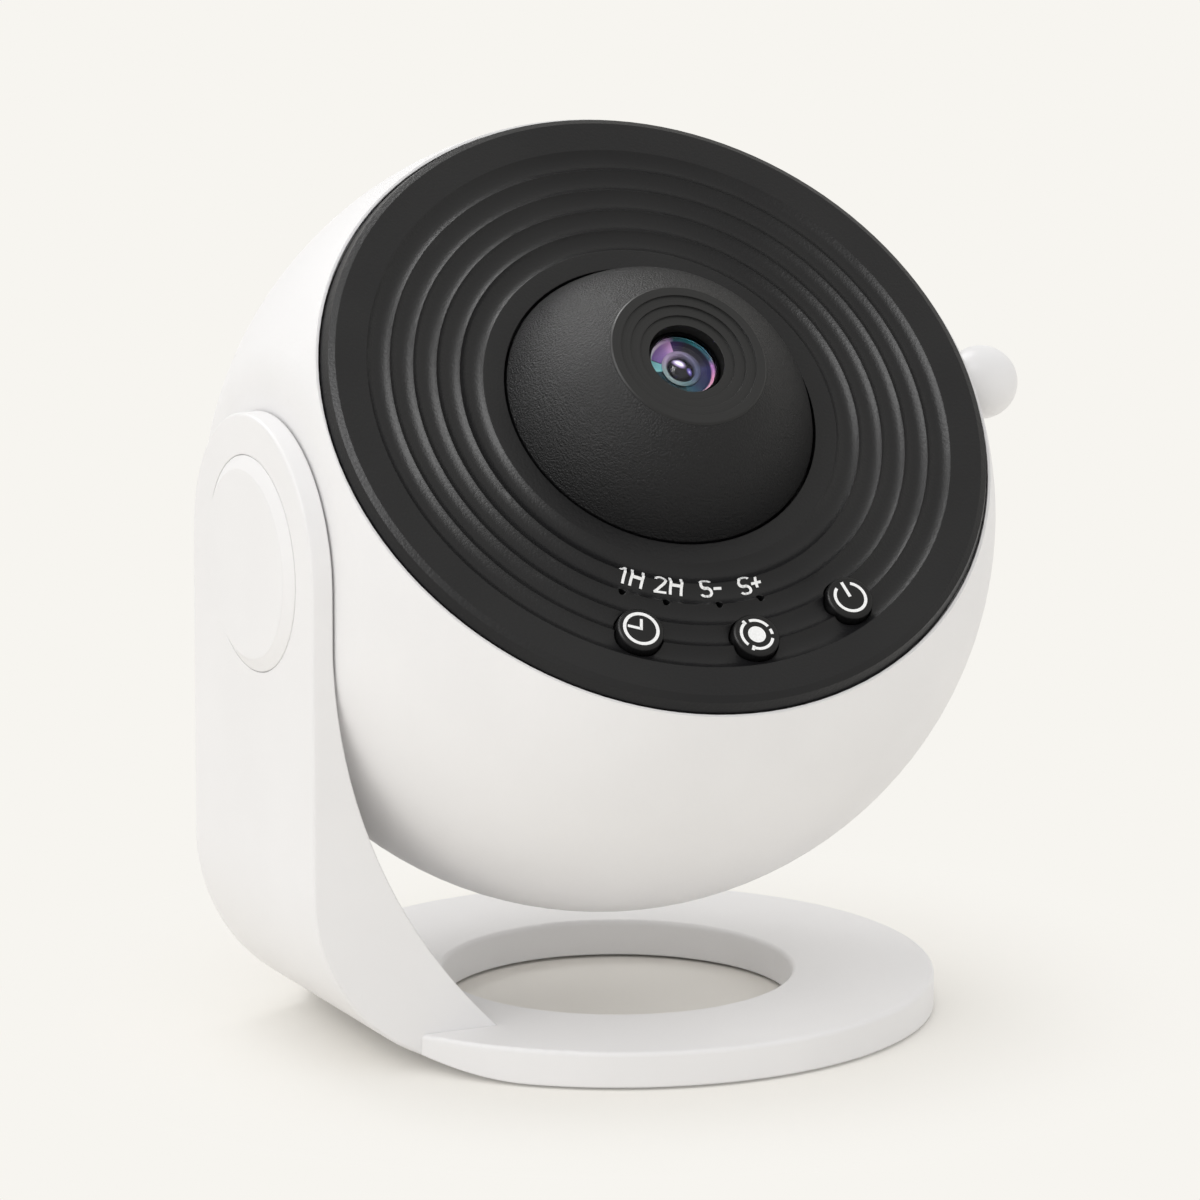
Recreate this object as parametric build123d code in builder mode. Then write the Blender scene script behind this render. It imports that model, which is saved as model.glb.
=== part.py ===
"""Planetarium projector.

A ball-shaped head tilts on a side arm that rises from a ring-shaped base. The head holds a lamp,
a turning film disc and a focusing lens. Millimetres, +Z up, +X from the arm towards the ball.
The origin is the centre of the base ring's opening, in the plane of the ring's underside.
"""

import os
from math import asin, cos, degrees, pi, radians, sin, sqrt

from build123d import *

os.makedirs("parts", exist_ok=True)

# ---------------------------------------------------------------- base ring
ring_outer_radius = 53.5
ring_opening_radius = 29.5
ring_height = 6.0
ring_wall = 2.0
ring_roof = 2.0
ring_edge_round = 0.8
foot_proud = 0.5
foot_radius = 5.0
foot_thickness = 1.1
foot_angles = (20.0, 121.0, 239.0, 340.0)
base_plate_thickness = 2.0
ballast_gap = 0.2
base_screw_recess = 1.4
base_screw_bite = 1.0
base_fit = 0.2
base_screw_angles = (45.0, 95.0, 265.0, 315.0)
channel_half_sweep = 132.0

# ---------------------------------------------------------------- ball and its place
ball_radius = 66.4
ball_over_ring = 12.3
ball_offset_x = -3.5
lens_elevation = 44.3
shell_wall = 2.2

# ---------------------------------------------------------------- arm and pivot
pivot_flat_depth = 7.4
pivot_flat_round = 12.0
arm_gap = 0.45
arm_thickness = 3.6
arm_half_width = 25.0
arm_head_drop = 2.0
arm_foot_flat = 1.28
arm_inner_bend = 95.0
arm_inner_bend_drop = 8.0
arm_edge_round = 0.5
cap_radius = 18.0
cap_proud = 1.3
cap_bevel = 2.2
cap_seat_depth = 0.8
cap_fit = 0.1
bolt_radius = 4.0
bolt_head_radius = 7.6
bolt_head_height = 1.2
bolt_fit = 0.05
bush_wall = 1.6
bush_flange_radius = 9.0
bush_flange_thickness = 1.2
washer_thickness = 0.8
arm_washer_radius = 12.0
spring_washer_radius = 7.4
bolt_end_proud = 1.0
nut_thickness = 4.0
nut_across_corners = 14.0

# ---------------------------------------------------------------- front panel
rim_height = 31.4
panel_proud = 2.6
panel_thickness = 3.0
panel_gap = 0.3
panel_skirt_depth = 2.0
panel_skirt_width = 3.8
rim_lip = 0.45
bevel_gentle = 1.1
bevel_gentle_drop = 0.55
bevel_steep = 0.7
land_thickness = 3.0
land_width = 4.3
panel_screw_count = 4
panel_screw_angle = 45.0
panel_screw_cover = 0.85
wall_bite = 1.0
ripple_inner_radius = 30.6
ripple_margin = 7.16
ripple_count = 5
ripple_depth = 0.85

# ---------------------------------------------------------------- dome, hood and lens
dome_radius = 26.5
dome_sphere_radius = 28.2
dome_wall = 1.8
dome_flange_width = 5.5
dome_gap = 0.5
dome_flange_thickness = 1.6
dome_screw_count = 4
dome_screw_bite = 1.5
dome_seat_drop = 3.44
hood_rim_radius = 13.2
hood_rim_rise = 0.3
hood_step_radii = (11.7, 10.0, 8.2)
hood_step_drop = 0.35
hood_throat_gap = 0.35
hood_spigot_radius = 12.0
hood_spigot_depth = 6.1
lens_nose_radius = 6.15
lens_front_drop = 2.8
lens_nose_wall = 0.45
lens_crown = 1.3
glass_seat_rise = 2.2
barrel_radius = 8.0
barrel_tail = 1.5
barrel_shoulder_gap = 1.5
barrel_bore_radius = 5.0
barrel_wall = 1.4
rear_lens_thickness = 3.0
retainer_thickness = 2.0
sliding_fit = 0.03

# ---------------------------------------------------------------- focusing
focus_travel = 1.5
focus_swing = 20.0
focus_rest_angle = 9.6
tube_wall = 1.5
tube_top_drop = 1.5
tube_neck = 5.0
tube_shoulder_width = 3.0
focus_ring_width = 3.0
focus_ring_height = 5.0
focus_pin_radius = 0.9
focus_pin_angle = 90.0
focus_pin_bite = 1.0
lever_radius = 1.5
lever_bite = 1.0
knob_radius = 6.25
knob_gap = 1.16
knob_height = 10.0
slot_clearance = 0.8
running_fit = 0.05

# ---------------------------------------------------------------- film disc drive
gear_module = 0.8
disc_teeth = 60
pinion_teeth = 12
gear_lift = 4.0
gear_width = 2.5
tooth_backlash = 0.28
tooth_root_depth = 0.92
tooth_tip_height = 0.68
tooth_root_share = 1.45
tooth_tip_share = 0.45
disc_hub_margin = 1.18
film_margin = 2.58
film_thickness = 0.6
film_recess = 1.0
film_ledge = 2.0
motor_angle = 150.0
motor_radius = 6.0
motor_length = 18.0
motor_shaft_radius = 1.0
motor_edge_round = 0.8
motor_ear_thickness = 1.0
motor_boss_radius = 2.9

# ---------------------------------------------------------------- optical frame and lamp
frame_height = 4.0
frame_thickness = 2.5
frame_margin = 5.5
bearing_wall = 1.2
bearing_top_gap = 0.3
frame_leg_inset = 3.8
frame_leg_width = 9.0
lug_screw_inset = 7.3
lug_depth = 10.8
frame_angle = 90.0
frame_leg_count = 3
lamp_clearance = 0.3
post_gap = 1.32
post_radius = 3.0
tube_gap = 2.0
tube_flange_thickness = 2.0
tube_flange_margin = 3.5
holder_outer_radius = 13.0
holder_flange_radius = 18.5
holder_flange_thickness = 1.6
holder_bottom_height = -10.0
condenser_radius = 10.0
condenser_edge = 1.5
condenser_crown = 4.0
condenser_ledge = 1.0
condenser_seat_height = -2.0
led_board_gap = 0.5
led_board_thickness = 1.4
led_dome_radius = 2.5
sink_radius = 20.0
sink_base = 3.0
fin_height = 15.0
fin_thickness = 1.5
fin_pitch = 5.0
fin_count = 7

# ---------------------------------------------------------------- buttons and circuit board
button_radius = 4.0
button_proud = 1.0
button_travel = 0.6
button_fit = 0.3
button_edge_round = 0.5
button_flange = 1.2
button_flange_thickness = 0.7
button_stem_radius = 1.8
button_stem_proud = 0.1
button_inset = 12.2
timer_button_angle = 247.4
rotation_button_angle = 272.8
power_button_angle = 297.3
indicator_inset = 7.15
indicator_radius = 0.65
indicator_angles = (242.2, 253.5, 267.3, 278.6)
chip_length = 1.6
chip_width = 0.8
chip_height = 0.6
board_drop = 5.4
board_thickness = 1.6
board_width = 16.5
board_inset = 6.26
board_start_angle = 232.0
board_sweep = 83.0
board_post_radius = 2.2
board_post_angles = (236.5, 261.0, 311.0)
switch_size = 6.0
switch_body_height = 2.0
switch_plunger_radius = 1.5
switch_gap = 0.05

# ---------------------------------------------------------------- rear cover
cover_rim_radius = 42.4
cover_spigot_depth = 2.5
cover_spigot_wall = 2.0
cover_fit = 0.2
cover_screw_inset = 4.7
cover_post_radius = 3.0
cover_lug_thickness = 4.5
cover_lug_width = 7.0
cover_screw_recess = 2.0
vent_count = 20
vent_inner_radius = 14.0
vent_outer_radius = 27.0
vent_width = 2.0
inlet_nose_radius = 4.0
inlet_bore_radius = 2.8
inlet_pin_radius = 1.0
inlet_recess = 0.9
inlet_flange_radius = 6.5
inlet_depth = 10.0
inlet_floor = 2.2
inlet_dish_radius = 5.5

# ---------------------------------------------------------------- screws
screw_radius = 1.0
screw_head_radius = 1.9
screw_head_height = 1.3
screw_thread_fit = 0.04
screw_hole_fit = 0.25
screw_tip_gap = 0.25
recess_radius = 0.8
recess_width = 0.4
recess_depth = 0.6

# ---------------------------------------------------------------- sizes that follow
pivot_flat_offset = ball_radius - pivot_flat_depth
cavity_radius = ball_radius - shell_wall
rim_radius = sqrt(ball_radius**2 - rim_height**2)
rebate_radius = rim_radius - rim_lip
land_inner_radius = rebate_radius - land_width
lug_radius = cavity_radius - lug_screw_inset
lug_inner_radius = cavity_radius - lug_depth
frame_leg_reach = cavity_radius - frame_leg_inset

panel_height = rim_height + panel_proud
panel_bottom = panel_height - panel_thickness
panel_outer_radius = rebate_radius - panel_gap
panel_opening_radius = dome_radius + dome_gap
ripple_outer_radius = panel_outer_radius - ripple_margin
ripple_pitch = (ripple_outer_radius - ripple_inner_radius) / ripple_count
button_circle_radius = panel_outer_radius - button_inset
indicator_circle_radius = button_circle_radius - indicator_inset
board_top_height = panel_bottom - board_drop
board_outer_radius = panel_outer_radius - board_inset
board_inner_radius = board_outer_radius - board_width

dome_centre_height = panel_height - sqrt(dome_sphere_radius**2 - dome_radius**2)
dome_flange_radius = dome_radius + dome_flange_width
dome_seat_height = dome_centre_height + dome_sphere_radius - dome_seat_drop
hood_rim_height = dome_seat_height + hood_rim_rise
hood_base_height = dome_seat_height - hood_spigot_depth
hood_throat_radius = lens_nose_radius + hood_throat_gap
lens_front_height = hood_rim_height - lens_front_drop
lens_glass_radius = lens_nose_radius - lens_nose_wall
barrel_shoulder_height = hood_base_height - focus_travel - barrel_shoulder_gap
rear_lens_radius = barrel_radius - barrel_wall

frame_top = frame_height + frame_thickness
gear_height = frame_top + gear_lift
gear_top = gear_height + gear_width
disc_pitch_radius = gear_module * disc_teeth / 2
disc_root_radius = disc_pitch_radius - tooth_root_depth
disc_hub_radius = disc_root_radius - disc_hub_margin
film_radius = disc_root_radius - film_margin
post_circle_radius = disc_pitch_radius + tooth_tip_height + post_gap + post_radius
tube_flange_radius = post_circle_radius + tube_flange_margin
frame_disc_radius = tube_flange_radius + frame_margin
lamp_opening_radius = holder_outer_radius + lamp_clearance
led_board_radius = condenser_radius - led_board_gap

tube_flange_height = gear_top + tube_gap
tube_flange_top = tube_flange_height + tube_flange_thickness
tube_shoulder_height = tube_flange_top + tube_neck
tube_top_height = barrel_shoulder_height - tube_top_drop
barrel_bottom_height = tube_shoulder_height - barrel_tail
lever_root_height = tube_shoulder_height + focus_ring_height / 2
knob_reach = sqrt(ball_radius**2 - knob_height**2) + knob_gap + knob_radius

# ---------------------------------------------------------------- planes and axes
ball_centre = Vector(ball_offset_x, 0, ring_height + ball_over_ring + ball_radius)
optical_direction = Vector(0, -cos(radians(lens_elevation)), sin(radians(lens_elevation)))
optical_axis = Axis(ball_centre, optical_direction)
head = Plane(origin=ball_centre, x_dir=(1, 0, 0), z_dir=optical_direction)
pivot_axis = Axis(ball_centre, (1, 0, 0))
arm_inner_x = ball_centre.X - pivot_flat_offset - arm_gap
arm_outer_x = arm_inner_x - arm_thickness


def radial_plane(angle):
    """Plane through the optical axis: local x points outwards at the angle, local y along the axis."""
    outward = head.x_dir * cos(radians(angle)) + head.y_dir * sin(radians(angle))
    return Plane(origin=ball_centre, x_dir=outward, z_dir=outward.cross(optical_direction))


section = radial_plane(0)


def pivot_plane(x_from_centre):
    """Plane square to the pivot axis, its local z pointing inwards to the ball's centre."""
    return Plane(origin=ball_centre + Vector(x_from_centre, 0, 0), x_dir=(0, 1, 0), z_dir=(1, 0, 0))


def finish(piece, label):
    """Label a finished piece and write its STEP file."""
    piece.part.label = label
    export_step(piece.part, f"parts/{label}.step")


def ball_section(inset):
    """Half section of the ball, with its pivot flat, drawn the inset inside the outer surface."""
    flat_x = -(pivot_flat_offset - inset)
    sphere = ball_radius - inset
    bend = pivot_flat_round - inset
    bend_x = flat_x + bend
    bend_r = sqrt((sphere - bend) ** 2 - bend_x**2)
    reach = sphere / (sphere - bend)
    tangent = (bend_x * reach, bend_r * reach)
    middle = degrees(asin(bend_r / (sphere - bend))) / 2
    bend_middle = (bend_x - bend * cos(radians(middle)), bend_r + bend * sin(radians(middle)))
    with BuildSketch(Plane(origin=ball_centre, x_dir=(1, 0, 0), z_dir=(0, -1, 0))) as half:
        with BuildLine():
            Polyline((sphere, 0), (flat_x, 0), (flat_x, bend_r))
            ThreePointArc((flat_x, bend_r), bend_middle, tangent)
            ThreePointArc(tangent, (0, sphere), (sphere, 0))
        make_face()
    return half.sketch


def screw_set(label, planes, length):
    """Cross-recessed screws that share one node, each with its head's underside on a plane.

    A plane's local z points out of the head, and the shank runs the other way.
    """
    with BuildPart() as screws:
        for seat in planes:
            with BuildSketch(seat):
                Circle(screw_head_radius)
            extrude(amount=screw_head_height)
            with BuildSketch(seat):
                Circle(screw_radius)
            extrude(amount=-length)
            with BuildSketch(seat.offset(screw_head_height)):
                Rectangle(2 * recess_radius, recess_width)
                Rectangle(recess_width, 2 * recess_radius)
            extrude(amount=-recess_depth, mode=Mode.SUBTRACT)
    finish(screws, label)


def spots(circle_radius, angles, height, facing=1):
    """Planes across the optical axis at places on a circle, facing along the axis or against it."""
    places = []
    for angle in angles:
        centre = head.from_local_coords(
            (circle_radius * cos(radians(angle)), circle_radius * sin(radians(angle)), height)
        )
        places.append(Plane(origin=centre, x_dir=head.x_dir, z_dir=optical_direction * facing))
    return places


def even_angles(first, count):
    """Evenly spaced angles round a full turn."""
    return [first + 360 / count * step for step in range(count)]


def drill(planes, radius, depth):
    """Cut round holes of the radius, down from each plane."""
    for plane in planes:
        with BuildSketch(plane) as hole:
            Circle(radius)
        extrude(hole.sketch, amount=-depth, mode=Mode.SUBTRACT)


def stud(planes, radius, length):
    """Add round posts of the radius, up from each plane."""
    for plane in planes:
        with BuildSketch(plane) as post:
            Circle(radius)
        extrude(post.sketch, amount=length)


def turned(points, mode=Mode.ADD):
    """Turn a closed outline of (radius, height) points round the optical axis."""
    with BuildSketch(section) as outline:
        with BuildLine():
            Polyline(*points, close=True)
        make_face()
    revolve(outline.sketch, axis=optical_axis, mode=mode)


def ring_of(inner, outer, bottom, top, mode=Mode.ADD):
    """A plain ring round the optical axis."""
    with BuildSketch(head.offset(bottom)) as ring:
        Circle(outer)
        if inner > 0:
            Circle(inner, mode=Mode.SUBTRACT)
    extrude(ring.sketch, amount=top - bottom, mode=mode)


# ================================================================ stand
channel_inner_radius = ring_opening_radius + ring_wall
channel_outer_radius = ring_outer_radius - ring_wall
channel_top = ring_height - ring_roof
base_plate_top = base_plate_thickness
ballast_thickness = channel_top - base_plate_top - ballast_gap
base_screw_circle = (channel_inner_radius + channel_outer_radius) / 2
base_screw_seat = base_screw_recess
base_screw_top = channel_top + base_screw_bite


def base_spots(angles, height, facing):
    """Planes on the base's screw circle."""
    return [
        Plane(
            origin=(
                base_screw_circle * cos(radians(angle)),
                base_screw_circle * sin(radians(angle)),
                height,
            ),
            x_dir=(1, 0, 0),
            z_dir=(0, 0, facing),
        )
        for angle in angles
    ]


def channel_area(fit, bottom):
    """The base's channel as an area at a height, drawn in all round by a fit.

    It stops short of the arm, where the ring's underside curves up.
    """
    end = radians(channel_half_sweep) - fit / channel_inner_radius
    reach = 2 * channel_outer_radius
    with BuildSketch(Plane.XY.offset(bottom)) as area:
        Circle(channel_outer_radius - fit)
        Circle(channel_inner_radius + fit, mode=Mode.SUBTRACT)
        with BuildLine():
            Polyline(
                (0, 0),
                (reach * cos(end), reach * sin(end)),
                (reach * cos(end), -reach * sin(end)),
                close=True,
            )
        make_face(mode=Mode.SUBTRACT)
    return area.sketch


arm_head_z = ball_centre.Z - arm_head_drop
arm_top_z = arm_head_z + arm_half_width
arm_inner_bend_start = arm_head_z - arm_inner_bend_drop
arm_bend_centre_x = arm_inner_x + arm_inner_bend
arm_toe_x = arm_bend_centre_x - sqrt(
    arm_inner_bend**2 - (arm_inner_bend_start - ring_height) ** 2
)
arm_bend_mid_angle = degrees(asin((arm_inner_bend_start - ring_height) / arm_inner_bend)) / 2
arm_bend_mid = (
    arm_bend_centre_x - arm_inner_bend * cos(radians(arm_bend_mid_angle)),
    arm_inner_bend_start - arm_inner_bend * sin(radians(arm_bend_mid_angle)),
)
arm_foot_bend = arm_toe_x - arm_foot_flat - arm_outer_x
arm_foot_centre = (arm_outer_x + arm_foot_bend, arm_foot_bend)
arm_foot_mid = (
    arm_foot_centre[0] - arm_foot_bend * cos(radians(45)),
    arm_foot_centre[1] - arm_foot_bend * sin(radians(45)),
)

# The space that the ball turns in, kept clear of the arm.
with BuildPart() as ball_clearance:
    add(ball_section(-arm_gap))
    revolve(axis=pivot_axis)

with BuildPart() as arm:
    with BuildSketch(Plane.XZ.offset(-arm_half_width)):
        with BuildLine():
            Polyline(
                (arm_toe_x, ring_height),
                (arm_toe_x, 0),
                (arm_foot_centre[0], 0),
            )
            ThreePointArc(
                (arm_foot_centre[0], 0), arm_foot_mid, (arm_outer_x, arm_foot_centre[1])
            )
            Polyline(
                (arm_outer_x, arm_foot_centre[1]),
                (arm_outer_x, arm_top_z),
                (arm_inner_x, arm_top_z),
                (arm_inner_x, arm_inner_bend_start),
            )
            ThreePointArc(
                (arm_inner_x, arm_inner_bend_start), arm_bend_mid, (arm_toe_x, ring_height)
            )
        make_face()
    extrude(amount=2 * arm_half_width)
    with BuildSketch(Plane.YZ.offset(arm_outer_x)):
        with Locations((0, arm_head_z)):
            Circle(arm_half_width)
        with Locations((0, arm_head_z / 2)):
            Rectangle(2 * arm_half_width, arm_head_z)
    extrude(amount=arm_toe_x - arm_outer_x, mode=Mode.INTERSECT)
    fillet(arm.faces().sort_by(Axis.X)[0].outer_wire().edges(), arm_edge_round)
    add(ball_clearance.part, mode=Mode.SUBTRACT)

with BuildPart() as stand_frame:
    with BuildSketch():
        Circle(ring_outer_radius)
        Circle(ring_opening_radius, mode=Mode.SUBTRACT)
    extrude(amount=ring_height)
    fillet(stand_frame.edges().group_by(Axis.Z)[-1], ring_edge_round)
    with BuildSketch(Plane.XZ):
        with BuildLine():
            ThreePointArc(
                (arm_foot_centre[0], 0), arm_foot_mid, (arm_outer_x, arm_foot_centre[1])
            )
            Polyline(
                (arm_outer_x, arm_foot_centre[1]),
                (arm_outer_x, -ring_height),
                (arm_foot_centre[0], -ring_height),
                (arm_foot_centre[0], 0),
            )
        make_face()
    extrude(amount=ring_outer_radius, both=True, mode=Mode.SUBTRACT)
    add(arm.part)
    extrude(channel_area(0, 0), amount=channel_top, mode=Mode.SUBTRACT)
    stud(base_spots(base_screw_angles, base_plate_top, 1), foot_radius, channel_top - base_plate_top)
    drill(
        base_spots(base_screw_angles, base_plate_top, -1),
        screw_radius + screw_thread_fit,
        base_screw_top - base_plate_top,
    )
    with BuildSketch(pivot_plane(arm_outer_x - ball_centre.X)):
        Circle(bolt_head_radius + cap_fit)
    extrude(amount=cap_seat_depth + bolt_head_height, mode=Mode.SUBTRACT)
    with BuildSketch(pivot_plane(arm_outer_x - ball_centre.X)):
        Circle(bolt_radius + bolt_fit)
    extrude(amount=arm_thickness, mode=Mode.SUBTRACT)
    with BuildSketch(Plane(origin=(arm_outer_x, 0, arm_head_z), x_dir=(0, 1, 0), z_dir=(1, 0, 0))):
        Circle(cap_radius + cap_fit)
    extrude(amount=cap_seat_depth, mode=Mode.SUBTRACT)
finish(stand_frame, "stand_frame")

with BuildPart() as ballast_ring:
    extrude(channel_area(base_fit, base_plate_top), amount=ballast_thickness)
    drill(
        base_spots(base_screw_angles, base_plate_top, -1), foot_radius + base_fit, ballast_thickness
    )
finish(ballast_ring, "ballast_ring")

with BuildPart() as base_plate:
    extrude(channel_area(base_fit, 0), amount=base_plate_thickness)
    drill(base_spots(foot_angles, 0, -1), foot_radius + base_fit, foot_thickness - foot_proud)
    drill(
        base_spots(base_screw_angles, 0, -1),
        screw_radius + screw_hole_fit,
        base_plate_thickness,
    )
    drill(
        base_spots(base_screw_angles, 0, -1),
        screw_head_radius + screw_hole_fit,
        base_screw_recess,
    )
finish(base_plate, "base_plate")

with BuildPart() as foot_pads:
    for foot_spot in base_spots(foot_angles, -foot_proud, 1):
        with BuildSketch(foot_spot):
            Circle(foot_radius)
        extrude(amount=foot_thickness)
    chamfer(foot_pads.edges().group_by(Axis.Z)[0], foot_proud / 2)
finish(foot_pads, "foot_pads")

screw_set(
    "base_screws",
    base_spots(base_screw_angles, base_screw_seat, -1),
    base_screw_top - base_screw_seat,
)

# ================================================================ pivot
flat_x = -pivot_flat_offset
shell_flat_inner_x = flat_x + shell_wall
bush_inner_x = shell_flat_inner_x + bush_flange_thickness
friction_washer_x = bush_inner_x + washer_thickness
spring_washer_x = friction_washer_x + washer_thickness
nut_outer_x = spring_washer_x + nut_thickness
bolt_head_x = arm_outer_x - ball_centre.X + cap_seat_depth
bush_bore_radius = bolt_radius + bolt_fit
bush_outer_radius = bush_bore_radius + bush_wall


def pivot_disc(outer, inner, start, length):
    """A round piece or hole on the pivot axis, from a place along it."""
    with BuildSketch(pivot_plane(start)) as disc:
        Circle(outer)
        if inner > 0:
            Circle(inner, mode=Mode.SUBTRACT)
    extrude(disc.sketch, amount=length)


with BuildPart() as pivot_cap:
    with BuildSketch(
        Plane(
            origin=(arm_outer_x + cap_seat_depth, 0, arm_head_z), x_dir=(0, 1, 0), z_dir=(-1, 0, 0)
        )
    ):
        Circle(cap_radius)
    extrude(amount=cap_seat_depth + cap_proud)
    chamfer(
        pivot_cap.edges().filter_by(GeomType.CIRCLE).sort_by(Axis.X)[0], cap_proud, cap_bevel
    )
finish(pivot_cap, "pivot_cap")

with BuildPart() as pivot_bolt:
    pivot_disc(bolt_head_radius, 0, bolt_head_x, bolt_head_height)
    pivot_disc(bolt_radius, 0, bolt_head_x, nut_outer_x - bolt_head_x + bolt_end_proud)
finish(pivot_bolt, "pivot_bolt")

with BuildPart() as arm_washer:
    pivot_disc(arm_washer_radius, bush_bore_radius, flat_x - arm_gap, arm_gap)
finish(arm_washer, "arm_washer")

with BuildPart() as pivot_bush:
    pivot_disc(bush_outer_radius, bush_bore_radius, flat_x, shell_wall)
    pivot_disc(bush_flange_radius, bush_bore_radius, shell_flat_inner_x, bush_flange_thickness)
finish(pivot_bush, "pivot_bush")

with BuildPart() as friction_washer:
    pivot_disc(bush_flange_radius, bush_bore_radius, bush_inner_x, washer_thickness)
finish(friction_washer, "friction_washer")

with BuildPart() as spring_washer:
    pivot_disc(spring_washer_radius, bush_bore_radius, friction_washer_x, washer_thickness)
finish(spring_washer, "spring_washer")

with BuildPart() as pivot_nut:
    with BuildSketch(pivot_plane(spring_washer_x)):
        RegularPolygon(nut_across_corners / 2, 6)
        Circle(bush_bore_radius, mode=Mode.SUBTRACT)
    extrude(amount=nut_thickness)
finish(pivot_nut, "pivot_nut")

# ================================================================ main shell
panel_seat_height = rim_height - panel_skirt_depth
land_bottom = panel_seat_height - land_thickness
cover_rim_height = -sqrt(ball_radius**2 - cover_rim_radius**2)
cover_spigot_radius = sqrt(cavity_radius**2 - cover_rim_height**2) - cover_fit
cover_screw_circle = cover_spigot_radius - cover_screw_inset
cover_lug_bottom = cover_rim_height + cover_spigot_depth + cover_fit
cover_lug_top = cover_lug_bottom + cover_lug_thickness
panel_screw_circle = rebate_radius - screw_head_radius - panel_gap
frame_angles = even_angles(frame_angle, frame_leg_count)
panel_screw_angles = even_angles(panel_screw_angle, panel_screw_count)
lug_bottom = -frame_height
lever_rise = (knob_height - lever_root_height) / (knob_reach - barrel_radius)


def lever_height(radius):
    """Height of the focus lever's centreline at a distance from the optical axis."""
    return knob_height + (radius - knob_reach) * lever_rise


slot_half_height = lever_radius + slot_clearance
slot_margin_angle = degrees((lever_radius + slot_clearance) / cavity_radius)
slot_height = lever_height(ball_radius - shell_wall / 2)


def lug(angle, inner, outer, width, bottom, top):
    """A block that stands inwards from the wall at an angle."""
    with BuildSketch(radial_plane(angle)) as block:
        with Locations(((inner + outer) / 2, (bottom + top) / 2)):
            Rectangle(outer - inner, top - bottom)
    extrude(block.sketch, amount=width / 2, both=True)


with BuildPart() as shell_cavity:
    add(ball_section(shell_wall))
    revolve(axis=pivot_axis)

with BuildPart() as ball_form:
    add(ball_section(0))
    revolve(axis=pivot_axis)

# What stands inwards from the shell's wall: the panel's land and the lugs.
with BuildPart() as shell_inside:
    ring_of(land_inner_radius, rim_radius, land_bottom, panel_seat_height)
    for leg_angle in frame_angles:
        lug(
            leg_angle,
            lug_inner_radius,
            cavity_radius + wall_bite,
            frame_leg_width,
            lug_bottom,
            frame_height,
        )
        lug(
            leg_angle,
            cover_screw_circle - cover_post_radius,
            cover_rim_radius + shell_wall,
            cover_lug_width,
            cover_lug_bottom,
            cover_lug_top,
        )
    add(ball_form.part, mode=Mode.INTERSECT)

with BuildPart() as main_shell:
    add(ball_section(0))
    revolve(axis=pivot_axis)
    add(shell_cavity.part, mode=Mode.SUBTRACT)
    add(shell_inside.part)
    split(bisect_by=head.offset(rim_height), keep=Keep.BOTTOM)
    split(bisect_by=head.offset(cover_rim_height), keep=Keep.TOP)
    ring_of(0, rebate_radius, panel_seat_height, rim_height, mode=Mode.SUBTRACT)
    with BuildSketch(radial_plane(focus_rest_angle - focus_swing - slot_margin_angle)) as slot:
        with Locations((ball_radius, slot_height)):
            Rectangle(4 * shell_wall, 2 * slot_half_height)
    revolve(
        slot.sketch,
        axis=optical_axis,
        revolution_arc=2 * (focus_swing + slot_margin_angle),
        mode=Mode.SUBTRACT,
    )
    with BuildSketch(pivot_plane(flat_x)):
        Circle(bush_outer_radius + screw_thread_fit)
    extrude(amount=shell_wall, mode=Mode.SUBTRACT)
    drill(
        spots(panel_screw_circle, panel_screw_angles, panel_seat_height),
        screw_radius + screw_hole_fit,
        land_thickness,
    )
    drill(
        spots(lug_radius, frame_angles, frame_height),
        screw_radius + screw_thread_fit,
        2 * frame_height,
    )
    drill(
        spots(cover_screw_circle, frame_angles, cover_lug_top),
        screw_radius + screw_thread_fit,
        cover_lug_thickness,
    )
finish(main_shell, "main_shell")

# ================================================================ rear cover and power inlet
inlet_face_height = -(ball_radius - inlet_recess)
inlet_flange_height = -sqrt(cavity_radius**2 - inlet_flange_radius**2) + shell_wall / 2
cover_screw_outside = cover_screw_circle + cover_post_radius
cover_screw_seat = cover_screw_recess - sqrt(ball_radius**2 - cover_screw_outside**2)
vent_depth = ball_radius - sqrt(cavity_radius**2 - vent_outer_radius**2) + vent_width

with BuildPart() as cover_inside:
    ring_of(
        cover_spigot_radius - cover_spigot_wall,
        cover_spigot_radius,
        cover_rim_height - cover_spigot_wall,
        cover_rim_height + cover_spigot_depth,
    )
    stud(
        spots(cover_screw_circle, frame_angles, -ball_radius),
        cover_post_radius,
        ball_radius + cover_lug_bottom,
    )
    ring_of(0, inlet_flange_radius, -ball_radius, inlet_flange_height)
    add(ball_form.part, mode=Mode.INTERSECT)

with BuildPart() as rear_cover:
    add(ball_section(0))
    revolve(axis=pivot_axis)
    add(shell_cavity.part, mode=Mode.SUBTRACT)
    split(bisect_by=head.offset(cover_rim_height), keep=Keep.BOTTOM)
    add(cover_inside.part)
    drill(
        spots(cover_screw_circle, frame_angles, cover_lug_bottom),
        screw_radius + screw_hole_fit,
        ball_radius,
    )
    drill(
        spots(cover_screw_circle, frame_angles, cover_screw_seat),
        screw_head_radius + screw_hole_fit,
        ball_radius,
    )
    ring_of(0, inlet_nose_radius + cap_fit, -ball_radius, inlet_flange_height, mode=Mode.SUBTRACT)
    ring_of(0, inlet_dish_radius, -ball_radius, inlet_face_height, mode=Mode.SUBTRACT)
    for vent_angle in even_angles(0, vent_count):
        with BuildSketch(head.offset(-ball_radius)) as vent:
            with Locations(Rotation(0, 0, vent_angle)):
                with Locations(((vent_inner_radius + vent_outer_radius) / 2, 0)):
                    SlotOverall(vent_outer_radius - vent_inner_radius, vent_width)
        extrude(vent.sketch, amount=vent_depth, mode=Mode.SUBTRACT)
finish(rear_cover, "rear_cover")

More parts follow.
